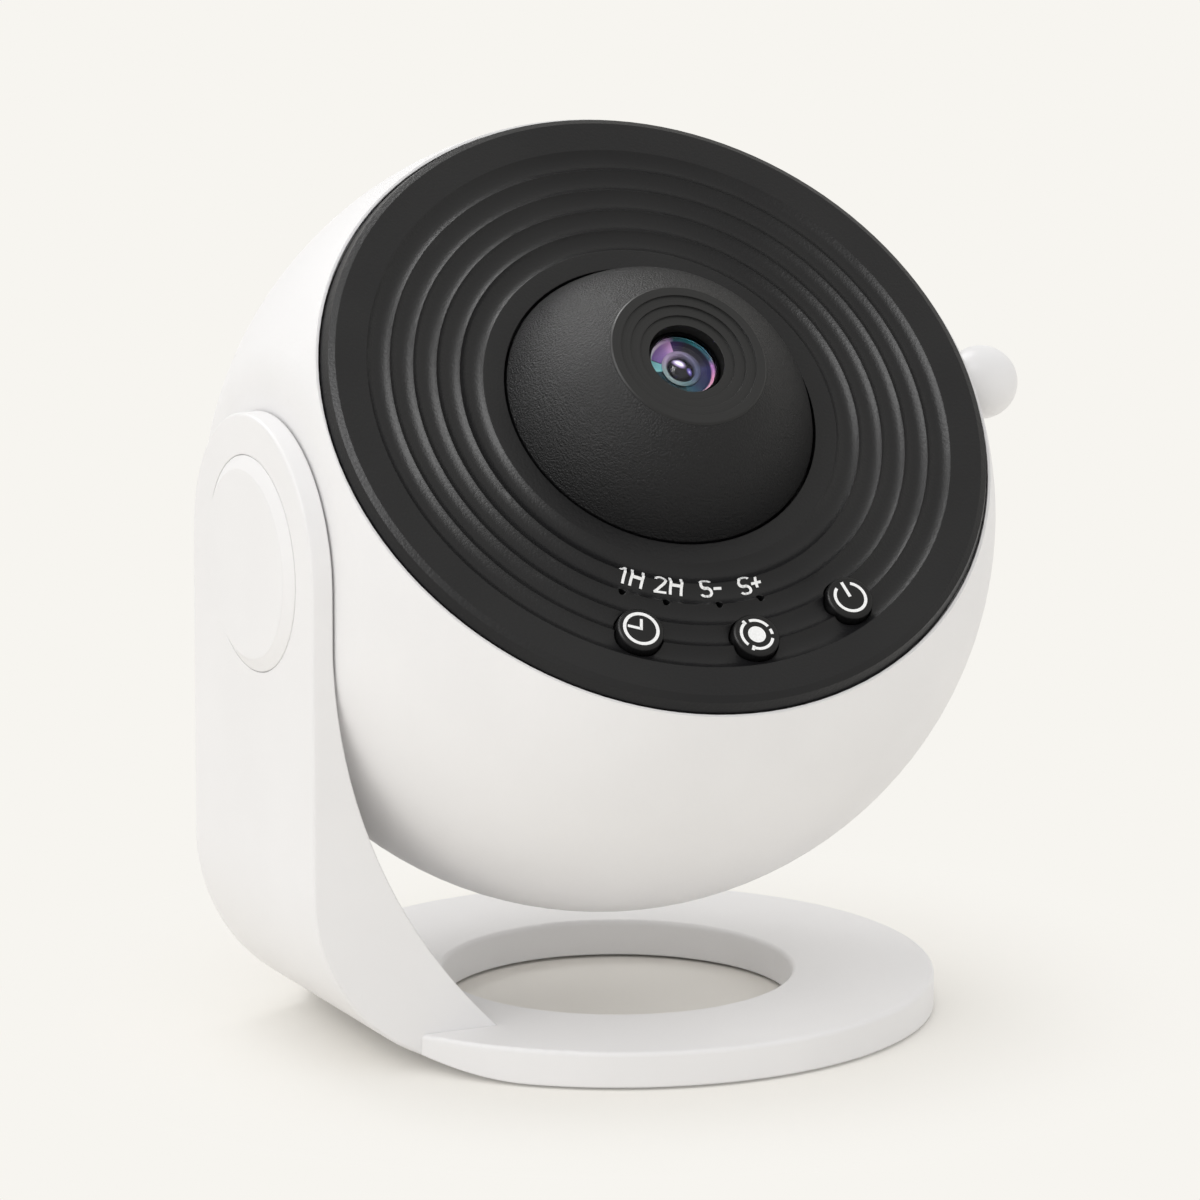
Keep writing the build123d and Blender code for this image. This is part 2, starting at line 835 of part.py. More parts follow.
screw_set(
    "rear_cover_screws",
    spots(cover_screw_circle, frame_angles, cover_screw_seat, -1),
    cover_lug_top - cover_screw_seat - screw_head_height,
)

with BuildPart() as dc_socket:
    ring_of(0, inlet_nose_radius, inlet_face_height, inlet_flange_height)
    ring_of(0, inlet_flange_radius, inlet_flange_height, inlet_flange_height + inlet_depth)
    ring_of(
        inlet_pin_radius,
        inlet_bore_radius,
        inlet_face_height,
        inlet_flange_height + inlet_depth - inlet_floor,
        mode=Mode.SUBTRACT,
    )
finish(dc_socket, "dc_socket")

# ================================================================ front panel
skirt_inner_radius = panel_outer_radius - panel_skirt_width
bevel_shoulder_radius = panel_outer_radius - bevel_steep
panel_rim_radius = bevel_shoulder_radius - bevel_gentle
button_angles = (timer_button_angle, rotation_button_angle, power_button_angle)
button_spots = spots(button_circle_radius, button_angles, panel_height)
dome_screw_circle = (dome_flange_radius + dome_radius) / 2
dome_screw_angles = even_angles(0, dome_screw_count)
board_middle_radius = (board_inner_radius + board_outer_radius) / 2
board_bottom_height = board_top_height - board_thickness

with BuildPart() as front_panel:
    with BuildSketch(section):
        with BuildLine():
            Polyline(
                (ripple_inner_radius, panel_height),
                (panel_opening_radius, panel_height),
                (panel_opening_radius, panel_bottom),
                (skirt_inner_radius, panel_bottom),
                (skirt_inner_radius, panel_seat_height),
                (panel_outer_radius, panel_seat_height),
                (panel_outer_radius, rim_height),
                (bevel_shoulder_radius, panel_height - bevel_gentle_drop),
                (panel_rim_radius, panel_height),
                (ripple_outer_radius, panel_height),
            )
            for ripple in range(ripple_count):
                ripple_start = ripple_inner_radius + ripple * ripple_pitch
                ThreePointArc(
                    (ripple_start, panel_height),
                    (ripple_start + ripple_pitch / 2, panel_height - ripple_depth),
                    (ripple_start + ripple_pitch, panel_height),
                )
        make_face()
    revolve(axis=optical_axis)
    stud(
        spots(board_middle_radius, board_post_angles, board_top_height),
        board_post_radius,
        panel_bottom - board_top_height,
    )
    drill(button_spots, button_radius + button_fit, panel_thickness)
    drill(
        spots(dome_screw_circle, dome_screw_angles, panel_bottom, -1),
        screw_radius + screw_thread_fit,
        dome_screw_bite,
    )
    drill(
        spots(indicator_circle_radius, indicator_angles, panel_height),
        indicator_radius,
        panel_thickness,
    )
    drill(
        spots(panel_screw_circle, panel_screw_angles, panel_seat_height, -1),
        screw_radius + screw_thread_fit,
        panel_thickness,
    )
    drill(
        spots(board_middle_radius, board_post_angles, board_top_height, -1),
        screw_radius + screw_thread_fit,
        panel_bottom - board_top_height,
    )
finish(front_panel, "front_panel")

screw_set(
    "panel_screws",
    spots(panel_screw_circle, panel_screw_angles, land_bottom, -1),
    land_thickness + panel_thickness - panel_screw_cover,
)

# ================================================================ dome and hood
dome_inner_radius = dome_radius - dome_wall


def dome_radius_at(height, radius=dome_sphere_radius):
    """Distance from the optical axis to the dome's sphere at a height."""
    return sqrt(radius**2 - (height - dome_centre_height) ** 2)


dome_flange_bottom = panel_bottom - dome_flange_thickness
dome_bore_radius = hood_spigot_radius + cap_fit
dome_inner_sphere = dome_sphere_radius - dome_wall
dome_inner_top = dome_centre_height + sqrt(dome_inner_sphere**2 - dome_bore_radius**2)
dome_inner_edge = dome_centre_height + sqrt(dome_inner_sphere**2 - dome_inner_radius**2)
dome_middle = (dome_seat_height + panel_height) / 2
dome_inner_middle = (dome_inner_top + dome_inner_edge) / 2

with BuildPart() as lens_dome:
    with BuildSketch(section):
        with BuildLine():
            ThreePointArc(
                (dome_radius, panel_height),
                (dome_radius_at(dome_middle), dome_middle),
                (dome_radius_at(dome_seat_height), dome_seat_height),
            )
            Polyline(
                (dome_radius_at(dome_seat_height), dome_seat_height),
                (dome_bore_radius, dome_seat_height),
                (dome_bore_radius, dome_inner_top),
            )
            ThreePointArc(
                (dome_bore_radius, dome_inner_top),
                (dome_radius_at(dome_inner_middle, dome_inner_sphere), dome_inner_middle),
                (dome_inner_radius, dome_inner_edge),
            )
            Polyline(
                (dome_inner_radius, dome_inner_edge),
                (dome_inner_radius, dome_flange_bottom),
                (dome_flange_radius, dome_flange_bottom),
                (dome_flange_radius, panel_bottom),
                (dome_radius, panel_bottom),
                (dome_radius, panel_height),
            )
        make_face()
    revolve(axis=optical_axis)
    drill(
        spots(dome_screw_circle, dome_screw_angles, panel_bottom),
        screw_radius + screw_hole_fit,
        dome_flange_thickness,
    )
finish(lens_dome, "lens_dome")

hood_edge_radius = dome_radius_at(dome_seat_height)
hood_steps = [(hood_edge_radius, dome_seat_height), (hood_rim_radius, hood_rim_height)]
for step, step_radius in enumerate(hood_step_radii):
    hood_steps.append((step_radius, hood_rim_height - step * hood_step_drop))
    hood_steps.append((step_radius, hood_rim_height - (step + 1) * hood_step_drop))
hood_steps.append((hood_throat_radius, hood_rim_height - len(hood_step_radii) * hood_step_drop))

with BuildPart() as lens_hood:
    turned(
        hood_steps
        + [
            (hood_throat_radius, hood_base_height),
            (hood_spigot_radius, hood_base_height),
            (hood_spigot_radius, dome_seat_height),
        ]
    )
finish(lens_hood, "lens_hood")

# ================================================================ lens barrel
glass_seat_height = barrel_shoulder_height + glass_seat_rise
glass_edge_top = lens_front_height - lens_crown / 2
retainer_top = barrel_bottom_height + retainer_thickness
focus_pin_height = tube_shoulder_height + focus_ring_height / 2

with BuildPart() as lens_barrel:
    turned(
        [
            (barrel_bore_radius, retainer_top + rear_lens_thickness),
            (barrel_bore_radius, glass_seat_height),
            (lens_glass_radius, glass_seat_height),
            (lens_glass_radius, lens_front_height),
            (lens_nose_radius, lens_front_height),
            (lens_nose_radius, barrel_shoulder_height),
            (barrel_radius, barrel_shoulder_height),
            (barrel_radius, barrel_bottom_height),
            (rear_lens_radius + sliding_fit, barrel_bottom_height),
            (rear_lens_radius + sliding_fit, retainer_top + rear_lens_thickness),
        ]
    )
    pin_plane = Plane(
        origin=head.from_local_coords((0, 0, focus_pin_height)),
        x_dir=optical_direction,
        z_dir=radial_plane(focus_pin_angle).x_dir,
    )
    drill([pin_plane.offset(barrel_radius)], focus_pin_radius + sliding_fit, focus_pin_bite)
finish(lens_barrel, "lens_barrel")

with BuildPart() as front_lens:
    with BuildSketch(section):
        with BuildLine():
            ThreePointArc(
                (-lens_glass_radius + sliding_fit, glass_edge_top),
                (0, glass_edge_top + lens_crown),
                (lens_glass_radius - sliding_fit, glass_edge_top),
            )
            Polyline(
                (lens_glass_radius - sliding_fit, glass_edge_top),
                (lens_glass_radius - sliding_fit, glass_seat_height),
                (-lens_glass_radius + sliding_fit, glass_seat_height),
                (-lens_glass_radius + sliding_fit, glass_edge_top),
            )
        make_face()
        split(bisect_by=Plane.YZ)
    revolve(axis=optical_axis)
finish(front_lens, "front_lens")

with BuildPart() as rear_lens:
    ring_of(0, rear_lens_radius, retainer_top, retainer_top + rear_lens_thickness)
finish(rear_lens, "rear_lens")

with BuildPart() as lens_retainer:
    ring_of(barrel_bore_radius, rear_lens_radius, barrel_bottom_height, retainer_top)
finish(lens_retainer, "lens_retainer")

# ================================================================ lens tube and focus ring
tube_bore_radius = barrel_radius + sliding_fit
tube_outer_radius = tube_bore_radius + tube_wall
tube_shoulder_radius = tube_outer_radius + tube_shoulder_width
focus_ring_bore = tube_outer_radius + running_fit
focus_ring_radius = focus_ring_bore + focus_ring_width
focus_ring_bottom = tube_shoulder_height + running_fit
focus_ring_top = focus_ring_bottom + focus_ring_height
post_angles = even_angles(frame_angle, frame_leg_count)
pin_slot_half_width = focus_pin_radius + slot_clearance / 2

with BuildPart() as lens_tube:
    turned(
        [
            (tube_bore_radius, tube_flange_height),
            (tube_flange_radius, tube_flange_height),
            (tube_flange_radius, tube_flange_top),
            (tube_shoulder_radius, tube_flange_top),
            (tube_shoulder_radius, tube_shoulder_height),
            (tube_outer_radius, tube_shoulder_height),
            (tube_outer_radius, tube_top_height),
            (tube_bore_radius, tube_top_height),
        ]
    )
    with BuildSketch(pin_plane):
        SlotCenterToCenter(2 * (focus_travel + slot_clearance), 2 * pin_slot_half_width)
    extrude(amount=tube_shoulder_radius, mode=Mode.SUBTRACT)
    drill(
        spots(post_circle_radius, post_angles, tube_flange_top),
        screw_radius + screw_hole_fit,
        tube_flange_thickness,
    )
finish(lens_tube, "lens_tube")

with BuildPart() as focus_pin:
    with BuildSketch(pin_plane.offset(barrel_radius - focus_pin_bite)):
        Circle(focus_pin_radius)
    extrude(amount=focus_pin_bite + focus_ring_radius - barrel_radius - wall_bite)
finish(focus_pin, "focus_pin")

lever_plane = radial_plane(focus_rest_angle)
lever_direction = lever_plane.x_dir + optical_direction * lever_rise
lever_start_radius = focus_ring_bore + lever_bite
lever_root = lever_plane.from_local_coords(
    (lever_start_radius, lever_height(lever_start_radius), 0)
)
knob_centre = lever_plane.from_local_coords((knob_reach, knob_height, 0))
lever_length = (knob_centre - lever_root).length
lever_start = Plane(origin=lever_root, z_dir=lever_direction)

# The pin's path in the ring is a slanted slot, as steep as a short stretch of screw thread.
focus_slot_run = focus_ring_radius * sin(radians(focus_swing)) + slot_clearance
focus_slot_rise = focus_travel * focus_slot_run / (focus_ring_radius * sin(radians(focus_swing)))
focus_slot_plane = Plane(
    origin=pin_plane.origin,
    x_dir=head.x_dir * -focus_slot_run + optical_direction * focus_slot_rise,
    z_dir=pin_plane.z_dir,
)

with BuildPart() as focus_ring:
    ring_of(focus_ring_bore, focus_ring_radius, focus_ring_bottom, focus_ring_top)
    with BuildSketch(focus_slot_plane):
        SlotCenterToCenter(
            2 * sqrt(focus_slot_run**2 + focus_slot_rise**2), 2 * pin_slot_half_width
        )
    extrude(amount=2 * focus_ring_radius, mode=Mode.SUBTRACT)
    with BuildSketch(lever_start):
        Circle(lever_radius + sliding_fit)
    extrude(amount=2 * focus_ring_radius, mode=Mode.SUBTRACT)
finish(focus_ring, "focus_ring")

with BuildPart() as focus_lever:
    with BuildSketch(lever_start):
        Circle(lever_radius)
    extrude(amount=lever_length)
finish(focus_lever, "focus_lever")

with BuildPart(Plane(origin=knob_centre, z_dir=lever_direction)) as focus_knob:
    Sphere(knob_radius)
    with BuildSketch(lever_start):
        Circle(lever_radius + sliding_fit)
    extrude(amount=lever_length, mode=Mode.SUBTRACT)
finish(focus_knob, "focus_knob")

# ================================================================ film disc drive
gear_centres = disc_pitch_radius + gear_module * pinion_teeth / 2
film_bottom = gear_top - film_thickness - film_recess
film_seat_radius = film_radius + cap_fit
film_opening_radius = film_radius - film_ledge
motor_centre = head.from_local_coords(
    (gear_centres * cos(radians(motor_angle)), gear_centres * sin(radians(motor_angle)), 0)
)
motor_plane = Plane(origin=motor_centre, x_dir=head.x_dir, z_dir=optical_direction)


def gear_blank(plane, teeth, first_angle):
    """Sketch of a spur gear with straight-flanked teeth, the first one at an angle."""
    pitch_radius = gear_module * teeth / 2
    root_radius = pitch_radius - tooth_root_depth
    tip_radius = pitch_radius + tooth_tip_height
    half_pitch_width = pi * gear_module / 4 - tooth_backlash / 2
    half_root_width = tooth_root_share * half_pitch_width
    half_tip_width = tooth_tip_share * half_pitch_width
    with BuildSketch(plane) as gear:
        Circle(root_radius)
        with PolarLocations(0, teeth, start_angle=first_angle):
            with BuildLine():
                Polyline(
                    (root_radius - gear_module / 2, -half_root_width),
                    (root_radius, -half_root_width),
                    (pitch_radius, -half_pitch_width),
                    (tip_radius, -half_tip_width),
                    (tip_radius, half_tip_width),
                    (pitch_radius, half_pitch_width),
                    (root_radius, half_root_width),
                    (root_radius - gear_module / 2, half_root_width),
                    close=True,
                )
            make_face()
    return gear.sketch


with BuildPart() as disc_carrier:
    extrude(gear_blank(head.offset(gear_height), disc_teeth, motor_angle), amount=gear_width)
    ring_of(0, disc_hub_radius, frame_top + running_fit, gear_height)
    ring_of(0, film_opening_radius, frame_top, gear_top, mode=Mode.SUBTRACT)
    ring_of(0, film_seat_radius, film_bottom, gear_top, mode=Mode.SUBTRACT)
finish(disc_carrier, "disc_carrier")

with BuildPart() as film_disc:
    ring_of(0, film_radius, film_bottom, film_bottom + film_thickness)
finish(film_disc, "film_disc")

with BuildPart() as motor_pinion:
    extrude(
        gear_blank(
            motor_plane.offset(gear_height), pinion_teeth, motor_angle + 180 + 180 / pinion_teeth
        ),
        amount=gear_width,
    )
    with BuildSketch(motor_plane.offset(frame_height)):
        Circle(motor_shaft_radius)
    extrude(amount=gear_height - frame_height)
finish(motor_pinion, "motor_pinion")

motor_screw_offset = motor_radius + screw_head_radius

with BuildPart() as gear_motor:
    with BuildSketch(motor_plane.offset(frame_height)):
        Circle(motor_radius)
    extrude(amount=-motor_length)
    fillet(gear_motor.edges().filter_by(GeomType.CIRCLE), motor_edge_round)
    with BuildSketch(motor_plane.offset(frame_height)):
        with Locations(Rotation(0, 0, motor_angle + 90)):
            SlotCenterToCenter(2 * motor_screw_offset, 2 * screw_head_radius)
    extrude(amount=-motor_ear_thickness)
    with BuildSketch(motor_plane.offset(frame_height)):
        Circle(motor_shaft_radius + running_fit)
    extrude(amount=-motor_length / 2, mode=Mode.SUBTRACT)
    with BuildSketch(motor_plane.offset(frame_height)):
        with PolarLocations(motor_screw_offset, 2, start_angle=motor_angle + 90):
            Circle(screw_radius + screw_hole_fit)
    extrude(amount=-motor_ear_thickness, mode=Mode.SUBTRACT)
finish(gear_motor, "gear_motor")

motor_screw_planes = [
    Plane(
        origin=motor_plane.from_local_coords(
            (
                motor_screw_offset * cos(radians(angle)),
                motor_screw_offset * sin(radians(angle)),
                frame_height - motor_ear_thickness,
            )
        ),
        x_dir=head.x_dir,
        z_dir=-optical_direction,
    )
    for angle in (motor_angle + 90, motor_angle - 90)
]
motor_screw_length = motor_ear_thickness + frame_thickness
screw_set("motor_screws", motor_screw_planes, motor_screw_length)

# ================================================================ optical frame
holder_screw_circle = (holder_outer_radius + holder_flange_radius) / 2
holder_screw_angles = even_angles(0, 3)

with BuildPart() as optical_frame:
    ring_of(0, frame_disc_radius, frame_height, frame_top)
    for leg_angle in frame_angles:
        lug(leg_angle, 0, frame_leg_reach, frame_leg_width, frame_height, frame_top)
    ring_of(0, disc_hub_radius + running_fit, frame_top, gear_height, mode=Mode.SUBTRACT)
    ring_of(
        disc_hub_radius + running_fit,
        disc_hub_radius + running_fit + bearing_wall,
        frame_top,
        gear_height - bearing_top_gap,
    )
    stud(
        spots(post_circle_radius, post_angles, frame_top),
        post_radius,
        tube_flange_height - frame_top,
    )
    ring_of(0, lamp_opening_radius, frame_height, frame_top, mode=Mode.SUBTRACT)
    drill(
        spots(post_circle_radius, post_angles, tube_flange_height),
        screw_radius + screw_thread_fit,
        tube_flange_height - frame_height,
    )
    drill(
        spots(lug_radius, frame_angles, frame_top),
        screw_radius + screw_hole_fit,
        frame_thickness,
    )
    drill(
        spots(holder_screw_circle, holder_screw_angles, frame_top),
        screw_radius + screw_thread_fit,
        frame_thickness,
    )
    drill([motor_plane.offset(frame_top)], motor_boss_radius, frame_thickness)
    drill(motor_screw_planes, screw_radius + screw_thread_fit, motor_screw_length)
finish(optical_frame, "optical_frame")

screw_set("frame_screws", spots(lug_radius, frame_angles, frame_top), frame_thickness + frame_height)
screw_set(
    "tube_screws",
    spots(post_circle_radius, post_angles, tube_flange_top),
    tube_flange_thickness + frame_height,
)

# ================================================================ lamp
holder_top = frame_height
led_board_top = holder_bottom_height + led_board_thickness
condenser_bore = condenser_radius + cap_fit

with BuildPart() as condenser_holder:
    ring_of(0, holder_outer_radius, holder_bottom_height, holder_top)
    ring_of(0, holder_flange_radius, holder_top - holder_flange_thickness, holder_top)
    ring_of(
        0, holder_flange_radius, holder_bottom_height, holder_bottom_height + holder_flange_thickness
    )
    ring_of(0, condenser_bore, holder_bottom_height, holder_top, mode=Mode.SUBTRACT)
    ring_of(
        condenser_radius - condenser_ledge,
        condenser_bore,
        condenser_seat_height - holder_flange_thickness,
        condenser_seat_height,
    )
    drill(
        spots(holder_screw_circle, holder_screw_angles, holder_top),
        screw_radius + screw_hole_fit,
        holder_top - holder_bottom_height,
    )
finish(condenser_holder, "condenser_holder")

screw_set(
    "holder_screws",
    spots(holder_screw_circle, holder_screw_angles, holder_top - holder_flange_thickness, -1),
    holder_flange_thickness + frame_thickness - screw_tip_gap,
)

with BuildPart() as condenser_lens:
    with BuildSketch(section):
        with BuildLine():
            ThreePointArc(
                (-condenser_radius, condenser_seat_height + condenser_edge),
                (0, condenser_seat_height + condenser_edge + condenser_crown),
                (condenser_radius, condenser_seat_height + condenser_edge),
            )
            Polyline(
                (condenser_radius, condenser_seat_height + condenser_edge),
                (condenser_radius, condenser_seat_height),
                (-condenser_radius, condenser_seat_height),
                (-condenser_radius, condenser_seat_height + condenser_edge),
            )
        make_face()
        split(bisect_by=Plane.YZ)
    revolve(axis=optical_axis)
finish(condenser_lens, "condenser_lens")

with BuildPart() as led_board:
    ring_of(0, led_board_radius, holder_bottom_height, led_board_top)
finish(led_board, "led_board")

with BuildPart() as led_emitter:
    with BuildSketch(section):
        with BuildLine():
            CenterArc((0, led_board_top), led_dome_radius, 0, 90)
            Polyline(
                (0, led_board_top + led_dome_radius),
                (0, led_board_top),
                (led_dome_radius, led_board_top),
            )
        make_face()
    revolve(axis=optical_axis)
finish(led_emitter, "led_emitter")

with BuildPart() as heat_sink:
    ring_of(0, sink_radius, holder_bottom_height - sink_base, holder_bottom_height)
    with BuildSketch(head.offset(holder_bottom_height - sink_base)):
        with GridLocations(fin_pitch, 0, fin_count, 1):
            Rectangle(fin_thickness, 2 * sink_radius)
        Circle(sink_radius, mode=Mode.INTERSECT)
    extrude(amount=-fin_height)
finish(heat_sink, "heat_sink")

# ================================================================ circuit board and switches
flange_bottom = panel_bottom - button_flange_thickness - cap_fit
stem_bottom = flange_bottom - button_stem_proud
switch_top_height = stem_bottom - button_travel - switch_gap

with BuildPart() as main_board:
    with BuildSketch(radial_plane(board_start_angle)) as board_cut:
        with Locations((board_middle_radius, board_top_height - board_thickness / 2)):
            Rectangle(board_outer_radius - board_inner_radius, board_thickness)
    revolve(board_cut.sketch, axis=optical_axis, revolution_arc=board_sweep)
    drill(
        spots(board_middle_radius, board_post_angles, board_top_height),
        screw_radius + screw_hole_fit,
        board_thickness,
    )
finish(main_board, "main_board")

screw_set(
    "board_screws",
    spots(board_middle_radius, board_post_angles, board_bottom_height, -1),
    board_thickness + panel_bottom - board_top_height - screw_tip_gap,
)

with BuildPart() as tact_switches:
    for switch_spot in spots(button_circle_radius, button_angles, board_top_height):
        with BuildSketch(switch_spot):
            Rectangle(switch_size, switch_size)
        extrude(amount=switch_body_height)
        with BuildSketch(switch_spot):
            Circle(switch_plunger_radius)
        extrude(amount=switch_top_height - board_top_height)
finish(tact_switches, "tact_switches")

with BuildPart() as indicator_leds:
    for led_spot in spots(indicator_circle_radius, indicator_angles, board_top_height):
        with BuildSketch(led_spot):
            Rectangle(chip_length, chip_width)
        extrude(amount=chip_height)
finish(indicator_leds, "indicator_leds")

for button_name, button_spot in zip(("timer", "rotation", "power"), button_spots):
    with BuildPart() as button:
        with BuildSketch(button_spot.offset(stem_bottom - panel_height)):
            Circle(button_stem_radius)
        extrude(amount=panel_height - stem_bottom)
        with BuildSketch(button_spot.offset(flange_bottom - panel_height)):
            Circle(button_radius + button_flange)
        extrude(amount=button_flange_thickness)
        with BuildSketch(button_spot.offset(flange_bottom - panel_height)):
            Circle(button_radius)
        extrude(amount=panel_height - flange_bottom + button_proud)
        fillet(button.edges().group_by(optical_axis)[-1], button_edge_round)
    finish(button, f"{button_name}_button")

screw_set(
    "dome_screws",
    spots(dome_screw_circle, dome_screw_angles, dome_flange_bottom, -1),
    dome_flange_thickness + dome_screw_bite,
)
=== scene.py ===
"""The looks of the planetarium projector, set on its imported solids. Lengths are in metres.

Pieces of the tilting head are drawn in the head's own place, with the lens looking along local Z,
and then moved to where the head is. Everything keeps its place in its mesh.
"""

import math

import bmesh
import bpy
from mathutils import Matrix, Vector


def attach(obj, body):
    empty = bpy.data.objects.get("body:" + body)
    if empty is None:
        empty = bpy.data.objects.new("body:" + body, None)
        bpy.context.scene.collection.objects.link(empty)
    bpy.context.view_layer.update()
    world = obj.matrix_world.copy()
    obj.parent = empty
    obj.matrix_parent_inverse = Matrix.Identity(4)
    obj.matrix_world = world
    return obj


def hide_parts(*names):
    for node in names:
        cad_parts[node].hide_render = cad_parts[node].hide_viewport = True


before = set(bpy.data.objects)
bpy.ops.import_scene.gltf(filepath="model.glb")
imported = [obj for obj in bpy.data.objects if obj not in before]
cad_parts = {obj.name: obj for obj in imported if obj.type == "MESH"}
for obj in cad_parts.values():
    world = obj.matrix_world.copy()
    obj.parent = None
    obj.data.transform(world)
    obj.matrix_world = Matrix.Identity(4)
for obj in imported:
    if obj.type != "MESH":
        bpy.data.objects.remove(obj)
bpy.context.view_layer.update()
scene = bpy.context.scene
scene.view_settings.view_transform = "Standard"

MM = 0.001
BALL_CENTRE = Vector((-3.5, 0.0, 84.7)) * MM
LENS_ELEVATION = math.radians(44.3)
HEAD_TURN = math.pi / 2 - LENS_ELEVATION
HEAD = Matrix.Translation(BALL_CENTRE) @ Matrix.Rotation(HEAD_TURN, 4, "X")
FLOOR_HEIGHT = -0.5 * MM

PANEL_HEIGHT = 34.0 * MM
RIPPLE_START = 30.6 * MM
RIPPLE_PITCH = 4.0 * MM
RIPPLE_DEPTH = 0.85 * MM
RIPPLE_END = 50.6 * MM
BUTTON_CIRCLE = 45.556 * MM
BUTTON_FACE = 35.0 * MM
LENS_RIM_HEIGHT = 45.967 * MM
GLASS_RADIUS = 5.67 * MM
GLASS_CROWN = 1.3 * MM
GLASS_BOTTOM = LENS_RIM_HEIGHT - 0.75 * MM
HOLLOW_LIFT = 0.35 * MM
HOLLOW_RADIUS = 5.35 * MM
HOLLOW_DEPTH = 1.0 * MM
CROWN_STEPS = 12
HOLLOW_STEPS = 8
PUPIL_RADIUS = 2.45 * MM
PUPIL_BASE = 43.9 * MM
PUPIL_CROWN = 2.0 * MM
PUPIL_SLOPE = math.radians(68)
PUPIL_STEPS = 8

TIMER_ANGLE = 247.4
ROTATION_ANGLE = 272.8
POWER_ANGLE = 297.3
MARK_THICKNESS = 0.05 * MM

CAMERA_AZIMUTH = math.radians(-24.858)
CAMERA_ELEVATION = math.radians(13.689)
CAMERA_DISTANCE = 2.0283
CAMERA_RIGHT = -0.0029
CAMERA_UP = 0.0677
LAMP_DISTANCE = 1.2


# ---------------------------------------------------------------- camera
back = Vector(
    (
        math.sin(CAMERA_AZIMUTH) * math.cos(CAMERA_ELEVATION),
        -math.cos(CAMERA_AZIMUTH) * math.cos(CAMERA_ELEVATION),
        math.sin(CAMERA_ELEVATION),
    )
)
right = Vector((math.cos(CAMERA_AZIMUTH), math.sin(CAMERA_AZIMUTH), 0.0))
up = back.cross(right)

camera_data = bpy.data.cameras.new("camera")
camera_data.sensor_width = 36.0
camera_data.lens = 360.0
camera_data.clip_end = 100.0
camera = bpy.data.objects.new("camera", camera_data)
scene.collection.objects.link(camera)
place = Matrix((right, up, back)).transposed().to_4x4()
place.translation = back * CAMERA_DISTANCE + right * CAMERA_RIGHT + up * CAMERA_UP
camera.matrix_world = place
scene.camera = camera


# ---------------------------------------------------------------- colours and nodes
def colour(code, alpha=1.0):
    """An sRGB hex value as the linear colour that the shaders work in."""
    channels = []
    for start in (0, 2, 4):
        value = int(code[start : start + 2], 16) / 255
        channels.append(value / 12.92 if value <= 0.04045 else ((value + 0.055) / 1.055) ** 2.4)
    return (*channels, alpha)


def add_node(material, kind, settings=None, inputs=None):
    """Adds a node, with its own settings and its inputs as values or links."""
    made = material.node_tree.nodes.new(kind)
    for name, value in (settings or {}).items():
        setattr(made, name, value)
    for name, value in (inputs or {}).items():
        if isinstance(value, bpy.types.NodeSocket):
            material.node_tree.links.new(value, made.inputs[name])
        else:
            made.inputs[name].default_value = value
    return made


def new_material(name):
    """An empty material."""
    material = bpy.data.materials.new(name)
    material.use_nodes = True
    material.node_tree.nodes.clear()
    return material


def close_material(material, shader):
    """Sends a shader to the material's surface."""
    add_node(material, "ShaderNodeOutputMaterial", None, {"Surface": shader})
    return material


def close_principled(material, inputs):
    """Sends a principled shader with these inputs to the material's surface."""
    shader = add_node(material, "ShaderNodeBsdfPrincipled", None, inputs)
    return close_material(material, shader.outputs["BSDF"])


def bump(material, height, depth, edge=None):
    """A normal that follows a height, with its depth in millimetres.

    Where an edge radius in millimetres is given, sharp edges catch light as if they had it.
    """
    inputs = {"Strength": 1.0, "Distance": depth * MM, "Height": height}
    if edge is not None:
        rounded = add_node(material, "ShaderNodeBevel", {"samples": 4}, {"Radius": edge * MM})
        inputs["Normal"] = rounded.outputs["Normal"]
    return add_node(material, "ShaderNodeBump", None, inputs).outputs["Normal"]


def ramp(material, value, stops):
    """A colour ramp with (position, hex) stops."""
    made = add_node(material, "ShaderNodeValToRGB", None, {"Fac": value})
    elements = made.color_ramp.elements
    while len(elements) < len(stops):
        elements.new(0.5)
    for element, (position, code) in zip(elements, stops):
        element.position = position
        element.color = colour(code)
    return made.outputs["Color"]


def grain_size(millimetres):
    """The scale that gives a noise pattern features of that size."""
    return 1000.0 / millimetres


def head_coordinates(material):
    """Coordinates of the tilting head, with the lens along Z."""
    where = add_node(material, "ShaderNodeTexCoord")
    turned = add_node(
        material,
        "ShaderNodeMapping",
        {"vector_type": "TEXTURE"},
        {
            "Vector": where.outputs["Object"],
            "Location": BALL_CENTRE,
            "Rotation": (HEAD_TURN, 0.0, 0.0),
        },
    )
    return turned.outputs["Vector"]


def radius_and_angle(material, vector):
    """Distance from the lens axis, and the angle round it as 0 to 1."""
    flat = add_node(
        material, "ShaderNodeVectorMath", {"operation": "MULTIPLY"}, {0: vector, 1: (1.0, 1.0, 0.0)}
    )
    radius = add_node(
        material, "ShaderNodeVectorMath", {"operation": "LENGTH"}, {0: flat.outputs["Vector"]}
    )
    split = add_node(material, "ShaderNodeSeparateXYZ", None, {"Vector": vector})
    turn = add_node(
        material,
        "ShaderNodeMath",
        {"operation": "ARCTAN2"},
        {0: split.outputs["Y"], 1: split.outputs["X"]},
    )
    share = add_node(
        material,
        "ShaderNodeMath",
        {"operation": "DIVIDE"},
        {0: turn.outputs["Value"], 1: 2 * math.pi},
    )
    wrapped = add_node(
        material, "ShaderNodeMath", {"operation": "FRACT"}, {0: share.outputs["Value"]}
    )
    return radius.outputs["Value"], wrapped.outputs["Value"]


